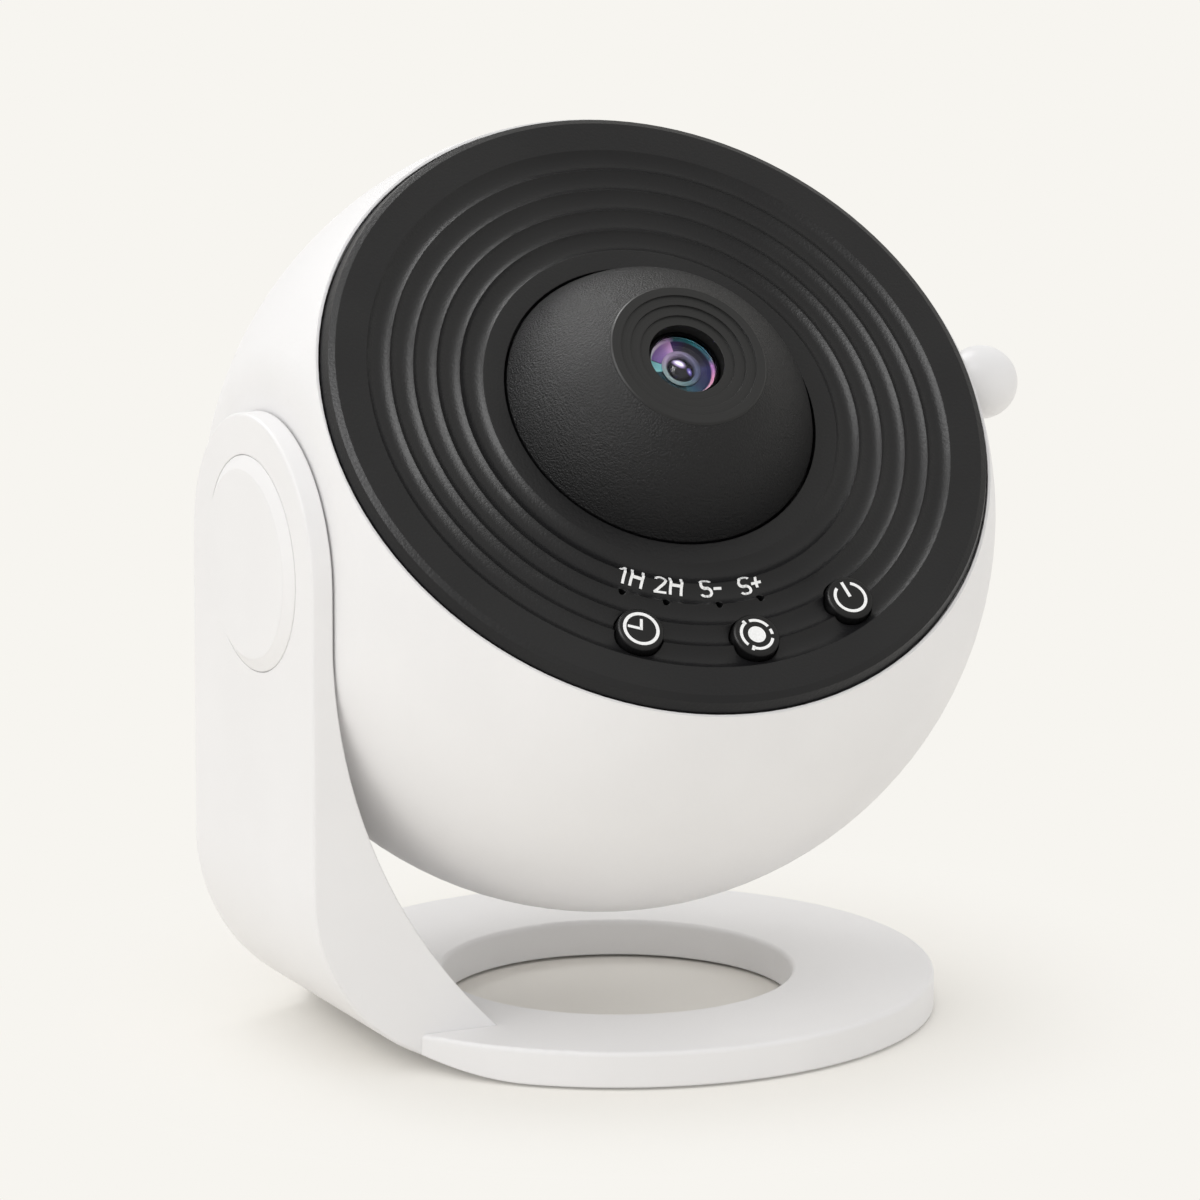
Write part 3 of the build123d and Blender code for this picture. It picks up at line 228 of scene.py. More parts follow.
# ---------------------------------------------------------------- finishes
def moulded_plastic(name, pale, deep, roughness, grain, depth, level, edge):
    """Moulded plastic with a tooled grain.

    The grain's size and depth are in millimetres, and so is the edge, the small radius that a
    mould leaves. The colour drifts a little over the piece, as moulded colour does, and the
    roughness follows the grain.
    """
    material = new_material(name)
    where = add_node(material, "ShaderNodeTexCoord")
    drift = add_node(
        material,
        "ShaderNodeTexNoise",
        None,
        {"Vector": where.outputs["Object"], "Scale": grain_size(28.0), "Detail": 2.0},
    )
    tint = ramp(material, drift.outputs["Fac"], ((0.3, deep), (0.7, pale)))
    pits = add_node(
        material,
        "ShaderNodeTexNoise",
        None,
        {
            "Vector": where.outputs["Object"],
            "Scale": grain_size(grain),
            "Detail": 3.0,
            "Roughness": 0.55,
        },
    )
    gloss = add_node(
        material,
        "ShaderNodeMapRange",
        None,
        {
            "Value": pits.outputs["Fac"],
            "From Min": 0.3,
            "From Max": 0.7,
            "To Min": roughness - 0.05,
            "To Max": roughness + 0.06,
        },
    )
    return close_principled(
        material,
        {
            "Base Color": tint,
            "Roughness": gloss.outputs["Result"],
            "IOR": 1.5,
            "Specular IOR Level": level,
            "Normal": bump(material, pits.outputs["Fac"], depth, edge),
        },
    )


def leathery_plastic(name, pale, deep, roughness, grain, depth, level):
    """Moulded plastic with a leather grain: rounded islands with creases between them.

    The islands come from a cell pattern whose lines are bent by a noise, so that they run into
    each other as tooled leather grain does.
    """
    material = new_material(name)
    where = add_node(material, "ShaderNodeTexCoord")
    bend = add_node(
        material,
        "ShaderNodeTexNoise",
        None,
        {"Vector": where.outputs["Object"], "Scale": grain_size(grain * 1.6), "Detail": 3.0},
    )
    shift = add_node(
        material,
        "ShaderNodeVectorMath",
        {"operation": "MULTIPLY_ADD"},
        {
            0: bend.outputs["Color"],
            1: (grain * 1.2 * MM,) * 3,
            2: where.outputs["Object"],
        },
    )
    cells = add_node(
        material,
        "ShaderNodeTexVoronoi",
        {"feature": "SMOOTH_F1"},
        {"Vector": shift.outputs["Vector"], "Scale": grain_size(grain), "Smoothness": 0.7},
    )
    fine = add_node(
        material,
        "ShaderNodeTexNoise",
        None,
        {"Vector": where.outputs["Object"], "Scale": grain_size(grain * 0.35), "Detail": 2.0},
    )
    height = add_node(
        material,
        "ShaderNodeMath",
        {"operation": "MULTIPLY_ADD"},
        {0: cells.outputs["Distance"], 1: -1.0, 2: fine.outputs["Fac"]},
    )
    tint = ramp(material, fine.outputs["Fac"], ((0.35, deep), (0.65, pale)))
    return close_principled(
        material,
        {
            "Base Color": tint,
            "Roughness": roughness,
            "IOR": 1.5,
            "Specular IOR Level": level,
            "Normal": bump(material, height.outputs["Value"], depth, 0.2),
        },
    )


def turned_plastic(name, pale, deep, roughness, line, depth, level):
    """Plastic with the fine circular lines of a turned mould, round the lens axis."""
    material = new_material(name)
    radius = radius_and_angle(material, head_coordinates(material))[0]
    scaled = add_node(
        material, "ShaderNodeMath", {"operation": "MULTIPLY"}, {0: radius, 1: grain_size(line)}
    )
    lines = add_node(
        material,
        "ShaderNodeTexNoise",
        {"noise_dimensions": "1D"},
        {"W": scaled.outputs["Value"], "Scale": 1.0, "Detail": 2.0},
    )
    tint = ramp(material, lines.outputs["Fac"], ((0.3, deep), (0.7, pale)))
    return close_principled(
        material,
        {
            "Base Color": tint,
            "Roughness": roughness,
            "IOR": 1.5,
            "Specular IOR Level": level,
            "Normal": bump(material, lines.outputs["Fac"], depth, 0.12),
        },
    )


def worked_metal(name, pale, deep, roughness, line, depth, stretch):
    """Metal with the fine streaks that drawing, rolling or plating leaves."""
    material = new_material(name)
    where = add_node(material, "ShaderNodeTexCoord")
    drawn = add_node(
        material,
        "ShaderNodeMapping",
        None,
        {"Vector": where.outputs["Object"], "Scale": stretch},
    )
    streaks = add_node(
        material,
        "ShaderNodeTexNoise",
        None,
        {"Vector": drawn.outputs["Vector"], "Scale": grain_size(line), "Detail": 3.0},
    )
    tint = ramp(material, streaks.outputs["Fac"], ((0.3, deep), (0.7, pale)))
    gloss = add_node(
        material,
        "ShaderNodeMapRange",
        None,
        {
            "Value": streaks.outputs["Fac"],
            "To Min": roughness - 0.08,
            "To Max": roughness + 0.1,
        },
    )
    return close_principled(
        material,
        {
            "Base Color": tint,
            "Metallic": 1.0,
            "Roughness": gloss.outputs["Result"],
            "Normal": bump(material, streaks.outputs["Fac"], depth),
        },
    )


def clear_glass(name, tint, ior):
    """Polished optical glass. A coated glass reflects less, which a lower index stands for."""
    material = new_material(name)
    where = add_node(material, "ShaderNodeTexCoord")
    dust = add_node(
        material,
        "ShaderNodeTexNoise",
        None,
        {"Vector": where.outputs["Object"], "Scale": grain_size(1.5), "Detail": 4.0},
    )
    gloss = add_node(
        material,
        "ShaderNodeMapRange",
        None,
        {"Value": dust.outputs["Fac"], "From Min": 0.45, "To Min": 0.0, "To Max": 0.03},
    )
    return close_principled(
        material,
        {
            "Base Color": colour(tint),
            "Roughness": gloss.outputs["Result"],
            "IOR": ior,
            "Transmission Weight": 1.0,
        },
    )


# ABS is the white of the shell. A fine spark-eroded grain breaks its highlights up; it is about
# 0.9 mm across here, a little coarser than real, so that it shows.
shell_abs = moulded_plastic("white_abs_grained", "F0EFEF", "ECEBEB", 0.5, 0.9, 0.03, 0.25, 0.22)
# The stand is the same ABS from a smoother mould: soft, even sheen and bright edges.
stand_abs = moulded_plastic("white_abs_satin", "F0EFEF", "EDECEC", 0.42, 0.7, 0.008, 0.25, 0.45)
knob_abs = moulded_plastic("white_abs_knob", "F0EFEF", "ECEBEB", 0.4, 0.7, 0.006, 0.3, 0.3)
# The panel is black ABS with a sparse grain that dulls it to charcoal.
panel_abs = moulded_plastic(
    "charcoal_abs_grained", "1B1B1C", "131315", 0.37, 0.5, 0.06, 0.27, 0.2
)
# The dome has a leather grain with islands of about 0.36 mm.
dome_abs = leathery_plastic("black_abs_leather_grain", "101012", "08080A", 0.42, 0.36, 0.11, 0.31)
# The hood is turned: fine circles, 0.15 mm apart, and a low sheen.
hood_abs = turned_plastic("charcoal_abs_turned", "262626", "1F1F1F", 0.42, 0.15, 0.014, 0.28)
button_abs = moulded_plastic("black_abs_buttons", "141415", "0E0E0F", 0.4, 0.5, 0.008, 0.27, 0.2)
inner_abs = moulded_plastic("black_abs_inner", "1A1A1B", "121213", 0.6, 0.8, 0.03, 0.4, 0.1)
barrel_anodised = worked_metal(
    "black_anodised_aluminium", "141415", "0B0B0C", 0.45, 0.2, 0.004, (1, 1, 1)
)
# Thermoplastic rubber: matt, with a dry bloom.
foot_rubber = moulded_plastic("grey_rubber", "3A3A3A", "2D2D2D", 0.8, 0.6, 0.04, 0.3, 0.2)
base_abs = moulded_plastic("white_abs_plain", "E6E6E4", "DEDEDC", 0.55, 0.8, 0.02, 0.4, 0.15)
# The unlit indicators are dark clear resin.
smoked_resin = moulded_plastic("smoked_resin", "0D0D0E", "080809", 0.3, 0.5, 0.004, 0.3, 0.05)
nylon = moulded_plastic("natural_nylon", "E2DFD3", "D3CFC1", 0.45, 1.2, 0.01, 0.5, 0.1)
silicone = moulded_plastic("yellow_silicone", "E8C64B", "D2A92E", 0.25, 0.4, 0.004, 0.5, 0.05)
# Zinc-plated steel: bright, slightly blue, with a faint streak.
zinc_steel = worked_metal("zinc_plated_steel", "D3D6DA", "B4B8BD", 0.3, 0.35, 0.004, (1, 1, 3))
motor_steel = worked_metal("drawn_steel_can", "C6C8CB", "A7AAAE", 0.28, 0.25, 0.005, (6, 1, 1))
sink_aluminium = worked_metal("extruded_aluminium", "D8DADC", "BFC2C6", 0.38, 0.3, 0.008, (1, 6, 1))
optical_glass = clear_glass("polished_glass", "F4FAFF", 1.52)
coated_glass = clear_glass("coated_glass", "FFFFFF", 1.2)


def printed_circuit():
    """Solder mask over etched copper: darker lanes show where there is no copper underneath."""
    material = new_material("solder_mask_green")
    vector = head_coordinates(material)
    tracks = add_node(
        material,
        "ShaderNodeTexBrick",
        None,
        {
            "Vector": vector,
            "Scale": grain_size(12.0),
            "Mortar Size": 0.03,
            "Color1": colour("0F5A2C"),
            "Color2": colour("0D5229"),
            "Mortar": colour("0A3D20"),
        },
    )
    cloud = add_node(
        material,
        "ShaderNodeTexNoise",
        None,
        {"Vector": vector, "Scale": grain_size(2.0), "Detail": 3.0},
    )
    return close_principled(
        material,
        {
            "Base Color": tracks.outputs["Color"],
            "Roughness": 0.3,
            "Normal": bump(material, cloud.outputs["Fac"], 0.01),
        },
    )


def star_film():
    """Dark photographic film with clear dots for stars, each about 0.15 mm across."""
    material = new_material("star_film")
    vector = head_coordinates(material)
    stars = add_node(
        material,
        "ShaderNodeTexVoronoi",
        None,
        {"Vector": vector, "Scale": grain_size(0.9)},
    )
    dots = ramp(
        material,
        stars.outputs["Distance"],
        ((0.0, "E8EEFF"), (0.1, "A9B8E8"), (0.14, "070B1C"), (1.0, "0A1030")),
    )
    return close_principled(material, {"Base Color": dots, "Roughness": 0.15})


def pad_print():
    """White pad-printing ink: flat, with the faint mottle of a thin coat over black."""
    material = new_material("white_pad_print")
    where = add_node(material, "ShaderNodeTexCoord")
    mottle = add_node(
        material,
        "ShaderNodeTexNoise",
        None,
        {"Vector": where.outputs["Object"], "Scale": grain_size(0.35), "Detail": 2.0},
    )
    tint = ramp(material, mottle.outputs["Fac"], ((0.3, "F2F2F1"), (0.7, "FFFFFF")))
    return close_principled(
        material, {"Base Color": tint, "Roughness": 0.45, "Specular IOR Level": 0.35}
    )


def lens_painted_reflections():
    """The coated surfaces behind the front glass, with the reflections of the lamps painted into
    their colour.

    Anti-reflection coatings of several layers look violet, magenta, cyan or deep teal by the angle
    of the surface under them. Here these are painted reflections: fixed bright sectors of violet,
    pink and cyan between the coating's own dark teal and navy. The colours run round the lens axis,
    in one band for the glass's rim, one for the wide cone under it and one for the step round the
    pupil.
    """
    material = new_material("coating_with_painted_reflections")
    vector = head_coordinates(material)
    radius, angle = radius_and_angle(material, vector)
    # Painted reflections on the wide cone: bright violet and cyan sectors between dark teal and
    # navy.
    cone = ramp(
        material,
        angle,
        (
            (0.0, "25224A"),
            (0.05, "131227"),
            (0.17, "0E0D1E"),
            (0.235, "2B1A4C"),
            (0.258, "3A2160"),
            (0.262, "C99BD2"),
            (0.33, "9C78BE"),
            (0.425, "8062B0"),
            (0.43, "1B1834"),
            (0.436, "86CFD8"),
            (0.498, "93DCE4"),
            (0.504, "06303D"),
            (0.64, "04222D"),
            (0.738, "0A3038"),
            (0.746, "20505E"),
            (0.84, "1F3054"),
            (0.93, "252655"),
        ),
    )
    # Painted highlights and reflections round the glass's rim, in pale violet, cyan and pink.
    rim = ramp(
        material,
        angle,
        (
            (0.0, "B07FC0"),
            (0.03, "3D5F78"),
            (0.15, "2E7480"),
            (0.24, "2A5A63"),
            (0.27, "C7A2DA"),
            (0.36, "F0E2FA"),
            (0.44, "D9F2F6"),
            (0.52, "7FD3DA"),
            (0.56, "3A7E8A"),
            (0.62, "7E3F3E"),
            (0.74, "A8645B"),
            (0.78, "A6D4DA"),
            (0.84, "F3C3D8"),
            (0.93, "EE9FCB"),
            (0.98, "C58AD2"),
        ),
    )
    # Painted reflection on the step round the pupil: a soft band of grey-violet and grey-teal.
    step = ramp(
        material,
        angle,
        (
            (0.0, "3B3F5C"),
            (0.12, "5C5A74"),
            (0.3, "8F7FA0"),
            (0.4, "A594B4"),
            (0.5, "8FA3A8"),
            (0.62, "86989C"),
            (0.75, "5F7C82"),
            (0.88, "474E6C"),
        ),
    )
    inner_edge = add_node(
        material, "ShaderNodeMath", {"operation": "GREATER_THAN"}, {0: radius, 1: 3.3 * MM}
    )
    outer_edge = add_node(
        material,
        "ShaderNodeMapRange",
        None,
        {"Value": radius, "From Min": 5.05 * MM, "From Max": 5.3 * MM},
    )
    banded = add_node(
        material,
        "ShaderNodeMix",
        {"data_type": "RGBA"},
        {0: inner_edge.outputs["Value"], 6: step, 7: cone},
    )
    rimmed = add_node(
        material,
        "ShaderNodeMix",
        {"data_type": "RGBA"},
        {0: outer_edge.outputs["Result"], 6: banded.outputs[2], 7: rim},
    )
    return close_principled(
        material,
        {
            "Base Color": rimmed.outputs[2],
            "Roughness": 0.3,
            "IOR": 1.5,
            "Specular IOR Level": 0.2,
        },
    )


def pupil_painted_reflections():
    """The small lens at the bottom: near black, with painted reflections of the windows, one white
    and one violet.
    """
    material = new_material("pupil_painted_reflections")
    vector = head_coordinates(material)
    previous = colour("0B0A1A")
    for centre, long_half, short_half, turn, code in (
        # Each spot is a painted reflection: a soft ellipse with its centre and half-sizes in
        # millimetres, its turn and its colour.
        ((1.02, -1.0), 0.75, 0.6, -0.9, "7C6BD6"),
        ((1.0, -1.05), 0.28, 0.22, -0.9, "E9E4FF"),
        ((-0.42, 0.6), 1.45, 0.85, -0.9, "B9A4E0"),
        ((-0.42, 0.6), 1.1, 0.5, -0.9, "FFFFFF"),
    ):
        spot = add_node(
            material,
            "ShaderNodeMapping",
            {"vector_type": "TEXTURE"},
            {
                "Vector": vector,
                "Location": (centre[0] * MM, centre[1] * MM, 0.0),
                "Rotation": (0.0, 0.0, turn),
                "Scale": (long_half * MM, short_half * MM, 1.0),
            },
        )
        flat = add_node(
            material,
            "ShaderNodeVectorMath",
            {"operation": "MULTIPLY"},
            {0: spot.outputs["Vector"], 1: (1.0, 1.0, 0.0)},
        )
        distance = add_node(
            material, "ShaderNodeVectorMath", {"operation": "LENGTH"}, {0: flat.outputs["Vector"]}
        )
        soft = add_node(
            material,
            "ShaderNodeMapRange",
            {"interpolation_type": "SMOOTHSTEP"},
            {"Value": distance.outputs["Value"], "From Min": 1.0, "From Max": 0.35},
        )
        mixed = add_node(
            material,
            "ShaderNodeMix",
            {"data_type": "RGBA"},
            {0: soft.outputs["Result"], 6: previous, 7: colour(code)},
        )
        previous = mixed.outputs[2]
    return close_principled(
        material,
        {
            "Base Color": previous,
            "Roughness": 0.15,
            "IOR": 1.5,
            "Specular IOR Level": 0.3,
        },
    )


circuit = printed_circuit()
film = star_film()
ink = pad_print()
painted_reflection_coating = lens_painted_reflections()
pupil = pupil_painted_reflections()

finishes = {
    shell_abs: ("main_shell", "rear_cover"),
    stand_abs: ("stand_frame", "pivot_cap"),
    knob_abs: ("focus_knob",),
    foot_rubber: ("foot_pads",),
    base_abs: ("base_plate", "led_board"),
    panel_abs: ("front_panel",),
    dome_abs: ("lens_dome",),
    hood_abs: ("lens_hood",),
    button_abs: ("timer_button", "rotation_button", "power_button"),
    inner_abs: (
        "dc_socket",
        "lens_tube",
        "optical_frame",
        "condenser_holder",
        "tact_switches",
    ),
    barrel_anodised: ("lens_barrel", "lens_retainer"),
    nylon: (
        "arm_washer",
        "friction_washer",
        "pivot_bush",
        "focus_ring",
        "disc_carrier",
        "motor_pinion",
    ),
    silicone: ("led_emitter",),
    smoked_resin: ("indicator_leds",),
    zinc_steel: (
        "ballast_ring",
        "base_screws",
        "pivot_bolt",
        "spring_washer",
        "pivot_nut",
        "rear_cover_screws",
        "panel_screws",
        "dome_screws",
        "tube_screws",
        "frame_screws",
        "holder_screws",
        "motor_screws",
        "board_screws",
        "focus_lever",
        "focus_pin",
    ),
    motor_steel: ("gear_motor",),
    sink_aluminium: ("heat_sink",),
    optical_glass: ("condenser_lens", "rear_lens", "front_lens"),
    circuit: ("main_board",),
    film: ("film_disc",),
}
for finish, names in finishes.items():
    for name in names:
        for material_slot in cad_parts[name].material_slots:
            material_slot.material = finish


# ---------------------------------------------------------------- making pieces
def start_piece():
    """Leaves nothing selected, so that an operator acts on the new piece alone."""
    bpy.ops.object.select_all(action="DESELECT")


def settle(piece, name, body, material, place=HEAD):
    """Names a piece, puts its place into its mesh and lets it ride on its body."""
    start_piece()
    piece.select_set(True)
    bpy.context.view_layer.objects.active = piece
    piece.matrix_world = place @ piece.matrix_world
    bpy.ops.object.transform_apply(location=True, rotation=True, scale=True)
    piece.name = name
    piece.data.name = name
    piece.data.materials.clear()
    piece.data.materials.append(material)
    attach(piece, body)


def give_modifier(piece, kind, settings):
    """Adds a modifier with its settings and applies it."""
    modifier = piece.modifiers.new(kind.lower(), kind)
    for name, value in settings.items():
        setattr(modifier, name, value)
    bpy.context.view_layer.objects.active = piece
    bpy.ops.object.modifier_apply(modifier=modifier.name)


def turned_profile(points, steps):
    """Draws a profile vertex by vertex as (radius, height) and spins it round local Z."""
    start_piece()
    bpy.ops.mesh.primitive_plane_add(size=1.0 * MM)
    piece = bpy.context.object
    bpy.ops.object.mode_set(mode="EDIT")
    bpy.ops.mesh.select_mode(type="VERT")
    bpy.ops.mesh.merge(type="CENTER")
    bpy.ops.transform.translate(value=(points[0][0], 0.0, points[0][1]))
    for before, after in zip(points, points[1:]):
        step = (after[0] - before[0], 0.0, after[1] - before[1])
        bpy.ops.mesh.extrude_region_move(TRANSFORM_OT_translate={"value": step})
    bpy.ops.mesh.select_all(action="SELECT")
    bpy.ops.mesh.spin(steps=steps, angle=2 * math.pi, center=(0, 0, 0), axis=(0, 0, 1))
    bpy.ops.mesh.select_all(action="SELECT")
    bpy.ops.mesh.remove_doubles(threshold=0.002 * MM)
    bpy.ops.mesh.normals_make_consistent(inside=False)
    bpy.ops.object.mode_set(mode="OBJECT")
    bpy.ops.object.shade_smooth_by_angle(angle=math.radians(35))
    return piece


def arc_stroke(radius, width, start, sweep):
    """A flat printed stroke along part of a circle, with angles in degrees."""
    start_piece()
    bpy.ops.mesh.primitive_plane_add(size=width)
    piece = bpy.context.object
    bpy.ops.object.mode_set(mode="EDIT")
    bpy.ops.transform.resize(value=(1.0, 0.0, 1.0), center_override=(0.0, 0.0, 0.0))
    bpy.ops.mesh.remove_doubles(threshold=0.001 * MM)
    bpy.ops.transform.translate(value=(radius, 0.0, 0.0))
    bpy.ops.mesh.select_all(action="SELECT")
    bpy.ops.mesh.spin(
        steps=max(4, int(abs(sweep) / 5)),
        angle=-math.radians(sweep),
        center=(0, 0, 0),
        axis=(0, 0, 1),
    )
    bpy.ops.mesh.select_all(action="SELECT")
    bpy.ops.mesh.remove_doubles(threshold=0.001 * MM)
    bpy.ops.object.mode_set(mode="OBJECT")
    piece.rotation_euler = (0.0, 0.0, math.radians(start))
    return piece


def bar_stroke(inner, outer, angle, width, centre=(0.0, 0.0)):
    """A flat printed bar that runs outwards from a centre at an angle."""
    start_piece()
    bpy.ops.mesh.primitive_plane_add(size=1.0)
    piece = bpy.context.object
    piece.scale = (outer - inner, width, 1.0)
    middle = (inner + outer) / 2
    turn = math.radians(angle)
    piece.rotation_euler = (0.0, 0.0, turn)
    piece.location = (
        centre[0] + middle * math.cos(turn),
        centre[1] + middle * math.sin(turn),
        0.0,
    )
    return piece


def join_strokes(strokes):
    """Joins flat strokes into one piece whose faces all look up local Z."""
    start_piece()
    for stroke in strokes:
        stroke.select_set(True)
    bpy.context.view_layer.objects.active = strokes[0]
    bpy.ops.object.transform_apply(location=True, rotation=True, scale=True)
    bpy.ops.object.join()
    joined = bpy.context.object
    mesh = bmesh.new()
    mesh.from_mesh(joined.data)
    for face in mesh.faces:
        face.normal_update()
        if face.normal.z < 0:
            face.normal_flip()
    mesh.to_mesh(joined.data)
    mesh.free()
    return joined


def print_mark(strokes, name, body, place):
    """Makes one printed mark of flat strokes, with the thickness of the ink."""
    mark = join_strokes(strokes)
    give_modifier(mark, "SOLIDIFY", {"thickness": MARK_THICKNESS, "offset": 1.0})
    settle(mark, name, body, ink, place)


# ---------------------------------------------------------------- marks on the buttons
def button_place(angle):
    """The middle of a button's face, with the head's own directions."""
    turn = math.radians(angle)
    spot = (BUTTON_CIRCLE * math.cos(turn), BUTTON_CIRCLE * math.sin(turn), BUTTON_FACE)
    return HEAD @ Matrix.Translation(spot)


print_mark(
    [
        arc_stroke(2.85 * MM, 0.55 * MM, 0, 360),
        bar_stroke(-0.25 * MM, 1.85 * MM, 72, 0.48 * MM),
        bar_stroke(0.0, 2.3 * MM, 158.1, 0.48 * MM),
    ],
    "timer_mark",
    "timer_key",
    button_place(TIMER_ANGLE),
)
print_mark(
    [
        arc_stroke(0.76 * MM, 1.52 * MM, 0, 360),
        arc_stroke(2.7 * MM, 0.5 * MM, 28.3, 73.5),
        arc_stroke(2.7 * MM, 0.5 * MM, -5.0, 20.7),
        arc_stroke(2.7 * MM, 0.5 * MM, 243.0, 94.7),
        arc_stroke(2.7 * MM, 0.5 * MM, 124.0, 95.0),
        bar_stroke(2.35 * MM, 3.25 * MM, 240.0, 0.5 * MM),
        bar_stroke(2.5 * MM, 3.25 * MM, 121.6, 0.5 * MM),
    ],
    "rotation_mark",
    "rotation_key",
    button_place(ROTATION_ANGLE),
)
print_mark(
    [
        arc_stroke(2.65 * MM, 0.52 * MM, 135.0, 298.0),
        bar_stroke(0.1 * MM, 3.0 * MM, 103.0, 0.55 * MM),
    ],
    "power_mark",
    "power_key",
    button_place(POWER_ANGLE),
)


# ---------------------------------------------------------------- words on the panel
LETTER_STROKE = 0.42 * MM
LETTER_WIDTH = 1.1
# Between two ripples is a sharp ridge, and the ink's top lies high enough to stay over it. This is
# also how thick the ink is.
INK_LIFT = 0.07 * MM


def panel_drop(radius):
    """How far the panel's rippled face lies below its rim at a distance from the axis."""
    if not RIPPLE_START < radius < RIPPLE_END:
        return 0.0
    curve = (RIPPLE_PITCH**2 / 4 + RIPPLE_DEPTH**2) / (2 * RIPPLE_DEPTH)
    along = (radius - RIPPLE_START) % RIPPLE_PITCH - RIPPLE_PITCH / 2
    return math.sqrt(curve**2 - along**2) - (curve - RIPPLE_DEPTH)


def shifted(stroke, x, y=0.0):
    """Moves a stroke by millimetres."""
    stroke.location = (stroke.location[0] + x * MM, stroke.location[1] + y * MM, 0.0)
    return stroke


def line_stroke(start, end):
    """A straight stroke of a letter from one point to another, in millimetres."""
    reach = math.hypot(end[0] - start[0], end[1] - start[1]) + LETTER_STROKE / MM
    angle = math.degrees(math.atan2(end[1] - start[1], end[0] - start[0]))
    middle = ((start[0] + end[0]) / 2, (start[1] + end[1]) / 2)
    bar = bar_stroke(-reach / 2 * MM, reach / 2 * MM, angle, LETTER_STROKE)
    return shifted(bar, *middle)


def curve_stroke(centre, radius, start, sweep):
    """A round stroke of a letter, with its centre and radius in millimetres."""
    return shifted(arc_stroke(radius * MM, LETTER_STROKE, start, sweep), *centre)


def letter(kind, x):
    """The strokes of one letter of a plain sans-serif face, centred on x."""
    if kind == "1":
        strokes = [
            line_stroke((0.25, -1.35), (0.25, 1.35)),
            line_stroke((-0.4, 0.72), (0.25, 1.35)),
        ]
    elif kind == "2":
        strokes = [
            curve_stroke((0.0, 0.6), 0.75, 170.0, -215.0),
            line_stroke((0.5, 0.05), (-0.78, -1.3)),
            line_stroke((-0.76, -1.35), (0.78, -1.35)),
        ]
    elif kind == "H":
        strokes = [
            line_stroke((-0.85, -1.35), (-0.85, 1.35)),
            line_stroke((0.85, -1.35), (0.85, 1.35)),
            line_stroke((-0.85, 0.05), (0.85, 0.05)),
        ]
    elif kind == "S":
        strokes = [
            curve_stroke((0.17, 0.69), 0.66, 22.0, 68.0),
            line_stroke((-0.17, 1.35), (0.17, 1.35)),
            curve_stroke((-0.17, 0.69), 0.66, 90.0, 180.0),
            line_stroke((-0.17, 0.0), (0.17, 0.0)),
            curve_stroke((0.17, -0.69), 0.66, 90.0, -180.0),
            line_stroke((-0.17, -1.35), (0.17, -1.35)),
            curve_stroke((-0.17, -0.69), 0.66, -90.0, -68.0),
        ]
    elif kind == "+":
        strokes = [
            line_stroke((-0.62, 0.1), (0.62, 0.1)),
            line_stroke((0.0, -0.5), (0.0, 0.72)),
        ]
    else:
        strokes = [line_stroke((-0.42, -0.1), (0.42, -0.1))]
    return [shifted(stroke, x) for stroke in strokes]


def panel_word(letters, name, spot):
    """Printed letters that follow the ripples, upright towards the middle of the panel.

    Each letter comes with its place along the word in millimetres. The spot is in the head's own
    directions.
    """
    strokes = []
    for kind, x in letters:
        strokes += letter(kind, x)
    word = join_strokes(strokes)
    word.scale = (LETTER_WIDTH, 1.0, 1.0)
    turn = math.atan2(spot[1], spot[0]) + math.pi / 2
    word.rotation_euler = (0.0, 0.0, turn)
    word.location = (spot[0] * MM, spot[1] * MM, 0.0)
    bpy.ops.object.transform_apply(location=True, rotation=True, scale=True)
    bpy.ops.object.mode_set(mode="EDIT")
    bpy.ops.mesh.select_all(action="SELECT")
    bpy.ops.mesh.subdivide(number_cuts=3)
    bpy.ops.mesh.subdivide(number_cuts=2)
    bpy.ops.object.mode_set(mode="OBJECT")
    for vertex in word.data.vertices:
        reach = math.hypot(vertex.co.x, vertex.co.y)
        vertex.co.z = PANEL_HEIGHT - panel_drop(reach) + INK_LIFT
    give_modifier(word, "SOLIDIFY", {"thickness": INK_LIFT, "offset": 1.0})
    settle(word, name, "head", ink)


for letters, name, spot in (
    ((("1", -1.3), ("H", 0.95)), "word_one_hour", (-15.44, -31.38)),
    ((("2", -1.3), ("H", 1.15)), "word_two_hours", (-9.41, -33.74)),
    ((("S", -0.85), ("-", 1.0)), "word_slower", (-2.17, -35.15)),
    ((("S", -1.0), ("+", 1.05)), "word_faster", (4.91, -35.25)),
):
    panel_word(letters, name, spot)


# ---------------------------------------------------------------- lens
crown = []
for step in range(CROWN_STEPS + 1):
    reach = GLASS_RADIUS * (1 - step / CROWN_STEPS)
    crown.append((reach, LENS_RIM_HEIGHT + GLASS_CROWN * (1 - (reach / GLASS_RADIUS) ** 2)))
hollow = []
for step in range(HOLLOW_STEPS + 1):
    reach = HOLLOW_RADIUS * (step / HOLLOW_STEPS)
    sag = HOLLOW_DEPTH * (reach / HOLLOW_RADIUS) ** 2
    hollow.append((reach, LENS_RIM_HEIGHT + HOLLOW_LIFT - sag))
glass = turned_profile(
    [(GLASS_RADIUS, GLASS_BOTTOM)] + crown + hollow + [(GLASS_RADIUS, GLASS_BOTTOM)], 64
)
settle(glass, "front_glass", "lens", coated_glass)

CUP_PROFILE = (
    (5.66, 42.3),
    (5.66, 45.14),
    (5.5, 45.16),
    (5.25, 45.1),
    (4.9, 45.04),
    (4.3, 44.96),
    (3.7, 44.9),
    (3.34, 44.86),
    (3.3, 45.1),
    (3.1, 45.2),
    (2.7, 45.16),
    (2.42, 44.96),
    (2.3, 44.66),
    (2.28, 44.1),
)
# The cup under the front glass carries the coating's painted reflections of the lamps.
cup = turned_profile([(radius * MM, height * MM) for radius, height in CUP_PROFILE], 64)
settle(cup, "cup_with_painted_reflections", "lens", painted_reflection_coating)

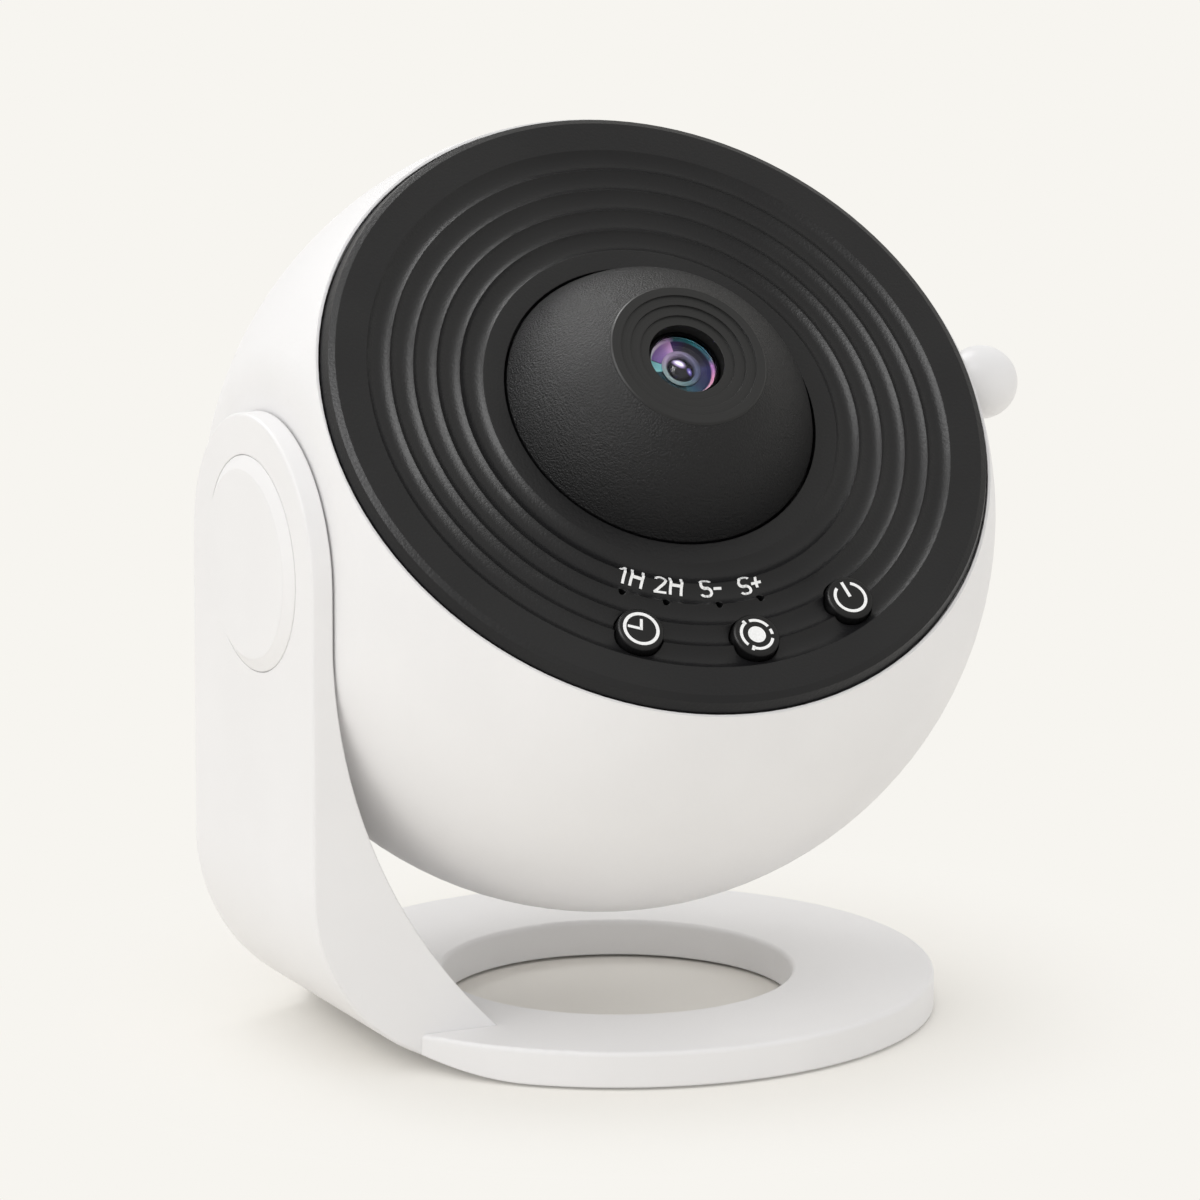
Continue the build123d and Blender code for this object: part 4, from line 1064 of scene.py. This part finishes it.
bead_points = []
for step in range(PUPIL_STEPS + 1):
    slope = PUPIL_SLOPE * (1 - step / PUPIL_STEPS)
    height = PUPIL_BASE + PUPIL_CROWN * math.cos(slope)
    bead_points.append((PUPIL_RADIUS * math.sin(slope), height))
bead = turned_profile(bead_points, 48)
# The pupil lens carries painted reflections of the windows.
settle(bead, "pupil_lens", "lens", pupil)
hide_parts("front_lens")
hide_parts("front_lens")
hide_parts("front_lens")


# ---------------------------------------------------------------- floor, world and lamps
PALE = "F7F5F0"


def sees_background(owner):
    """One where a camera, glossy or transmission ray looks, for the pale background."""
    rays = add_node(owner, "ShaderNodeLightPath")
    seen = add_node(
        owner,
        "ShaderNodeMath",
        {"operation": "MAXIMUM"},
        {0: rays.outputs["Is Camera Ray"], 1: rays.outputs["Is Glossy Ray"]},
    )
    seen_or_through = add_node(
        owner,
        "ShaderNodeMath",
        {"operation": "MAXIMUM"},
        {0: seen.outputs["Value"], 1: rays.outputs["Is Transmission Ray"]},
    )
    return seen_or_through.outputs["Value"]


start_piece()
bpy.ops.mesh.primitive_plane_add(size=12.0, location=(0.0, 0.0, FLOOR_HEIGHT))
floor = bpy.context.object
floor.name = "floor"

paper = new_material("pale_floor")
where = add_node(paper, "ShaderNodeTexCoord")
flat = add_node(
    paper,
    "ShaderNodeVectorMath",
    {"operation": "LENGTH"},
    {0: where.outputs["Object"]},
)
fade = add_node(
    paper,
    "ShaderNodeMapRange",
    {"interpolation_type": "SMOOTHSTEP"},
    {"Value": flat.outputs["Value"], "From Min": 0.03, "From Max": 0.105},
)
share = add_node(
    paper,
    "ShaderNodeMath",
    {"operation": "MULTIPLY"},
    {0: fade.outputs["Result"], 1: sees_background(paper)},
)
lit = add_node(paper, "ShaderNodeBsdfDiffuse", None, {"Color": colour("F3F0EA")})
plain = add_node(paper, "ShaderNodeEmission", None, {"Color": colour(PALE), "Strength": 1.0})
mixed = add_node(
    paper,
    "ShaderNodeMixShader",
    None,
    {0: share.outputs["Value"], 1: lit.outputs["BSDF"], 2: plain.outputs["Emission"]},
)
close_material(paper, mixed.outputs["Shader"])
floor.data.materials.append(paper)

world = bpy.data.worlds.new("studio")
scene.world = world
world.use_nodes = True
world.node_tree.nodes.clear()
ambient = add_node(
    world, "ShaderNodeBackground", None, {"Color": colour("FFFFFF"), "Strength": 0.85}
)
backdrop = add_node(world, "ShaderNodeBackground", None, {"Color": colour(PALE), "Strength": 1.0})
both = add_node(
    world,
    "ShaderNodeMixShader",
    None,
    {
        0: sees_background(world),
        1: ambient.outputs["Background"],
        2: backdrop.outputs["Background"],
    },
)
add_node(world, "ShaderNodeOutputWorld", None, {"Surface": both.outputs["Shader"]})


def softbox(name, direction, size, power, shapes_white=True):
    """A square lamp that faces the ball, placed by the camera's right, up and back.

    One that doesn't shape the white parts only shows in reflections, as a card of foil does.
    """
    data = bpy.data.lights.new(name, "AREA")
    data.shape = "SQUARE"
    data.size = size
    data.energy = power
    lamp = bpy.data.objects.new(name, data)
    scene.collection.objects.link(lamp)
    aim = (right * direction[0] + up * direction[1] + back * direction[2]).normalized()
    lamp.location = BALL_CENTRE + aim * LAMP_DISTANCE
    lamp.rotation_euler = aim.to_track_quat("Z", "Y").to_euler()
    lamp.visible_diffuse = shapes_white


softbox("top_softbox", (-0.3, 0.9, -0.3), 0.5, 2.2)
softbox("left_softbox", (-0.52, 0.4, 0.75), 0.7, 2.6)
softbox("top_card", (-0.45, 0.8, -0.35), 0.5, 6.5, shapes_white=False)
softbox("left_card", (-0.48, 0.66, 0.58), 0.75, 13.0, shapes_white=False)
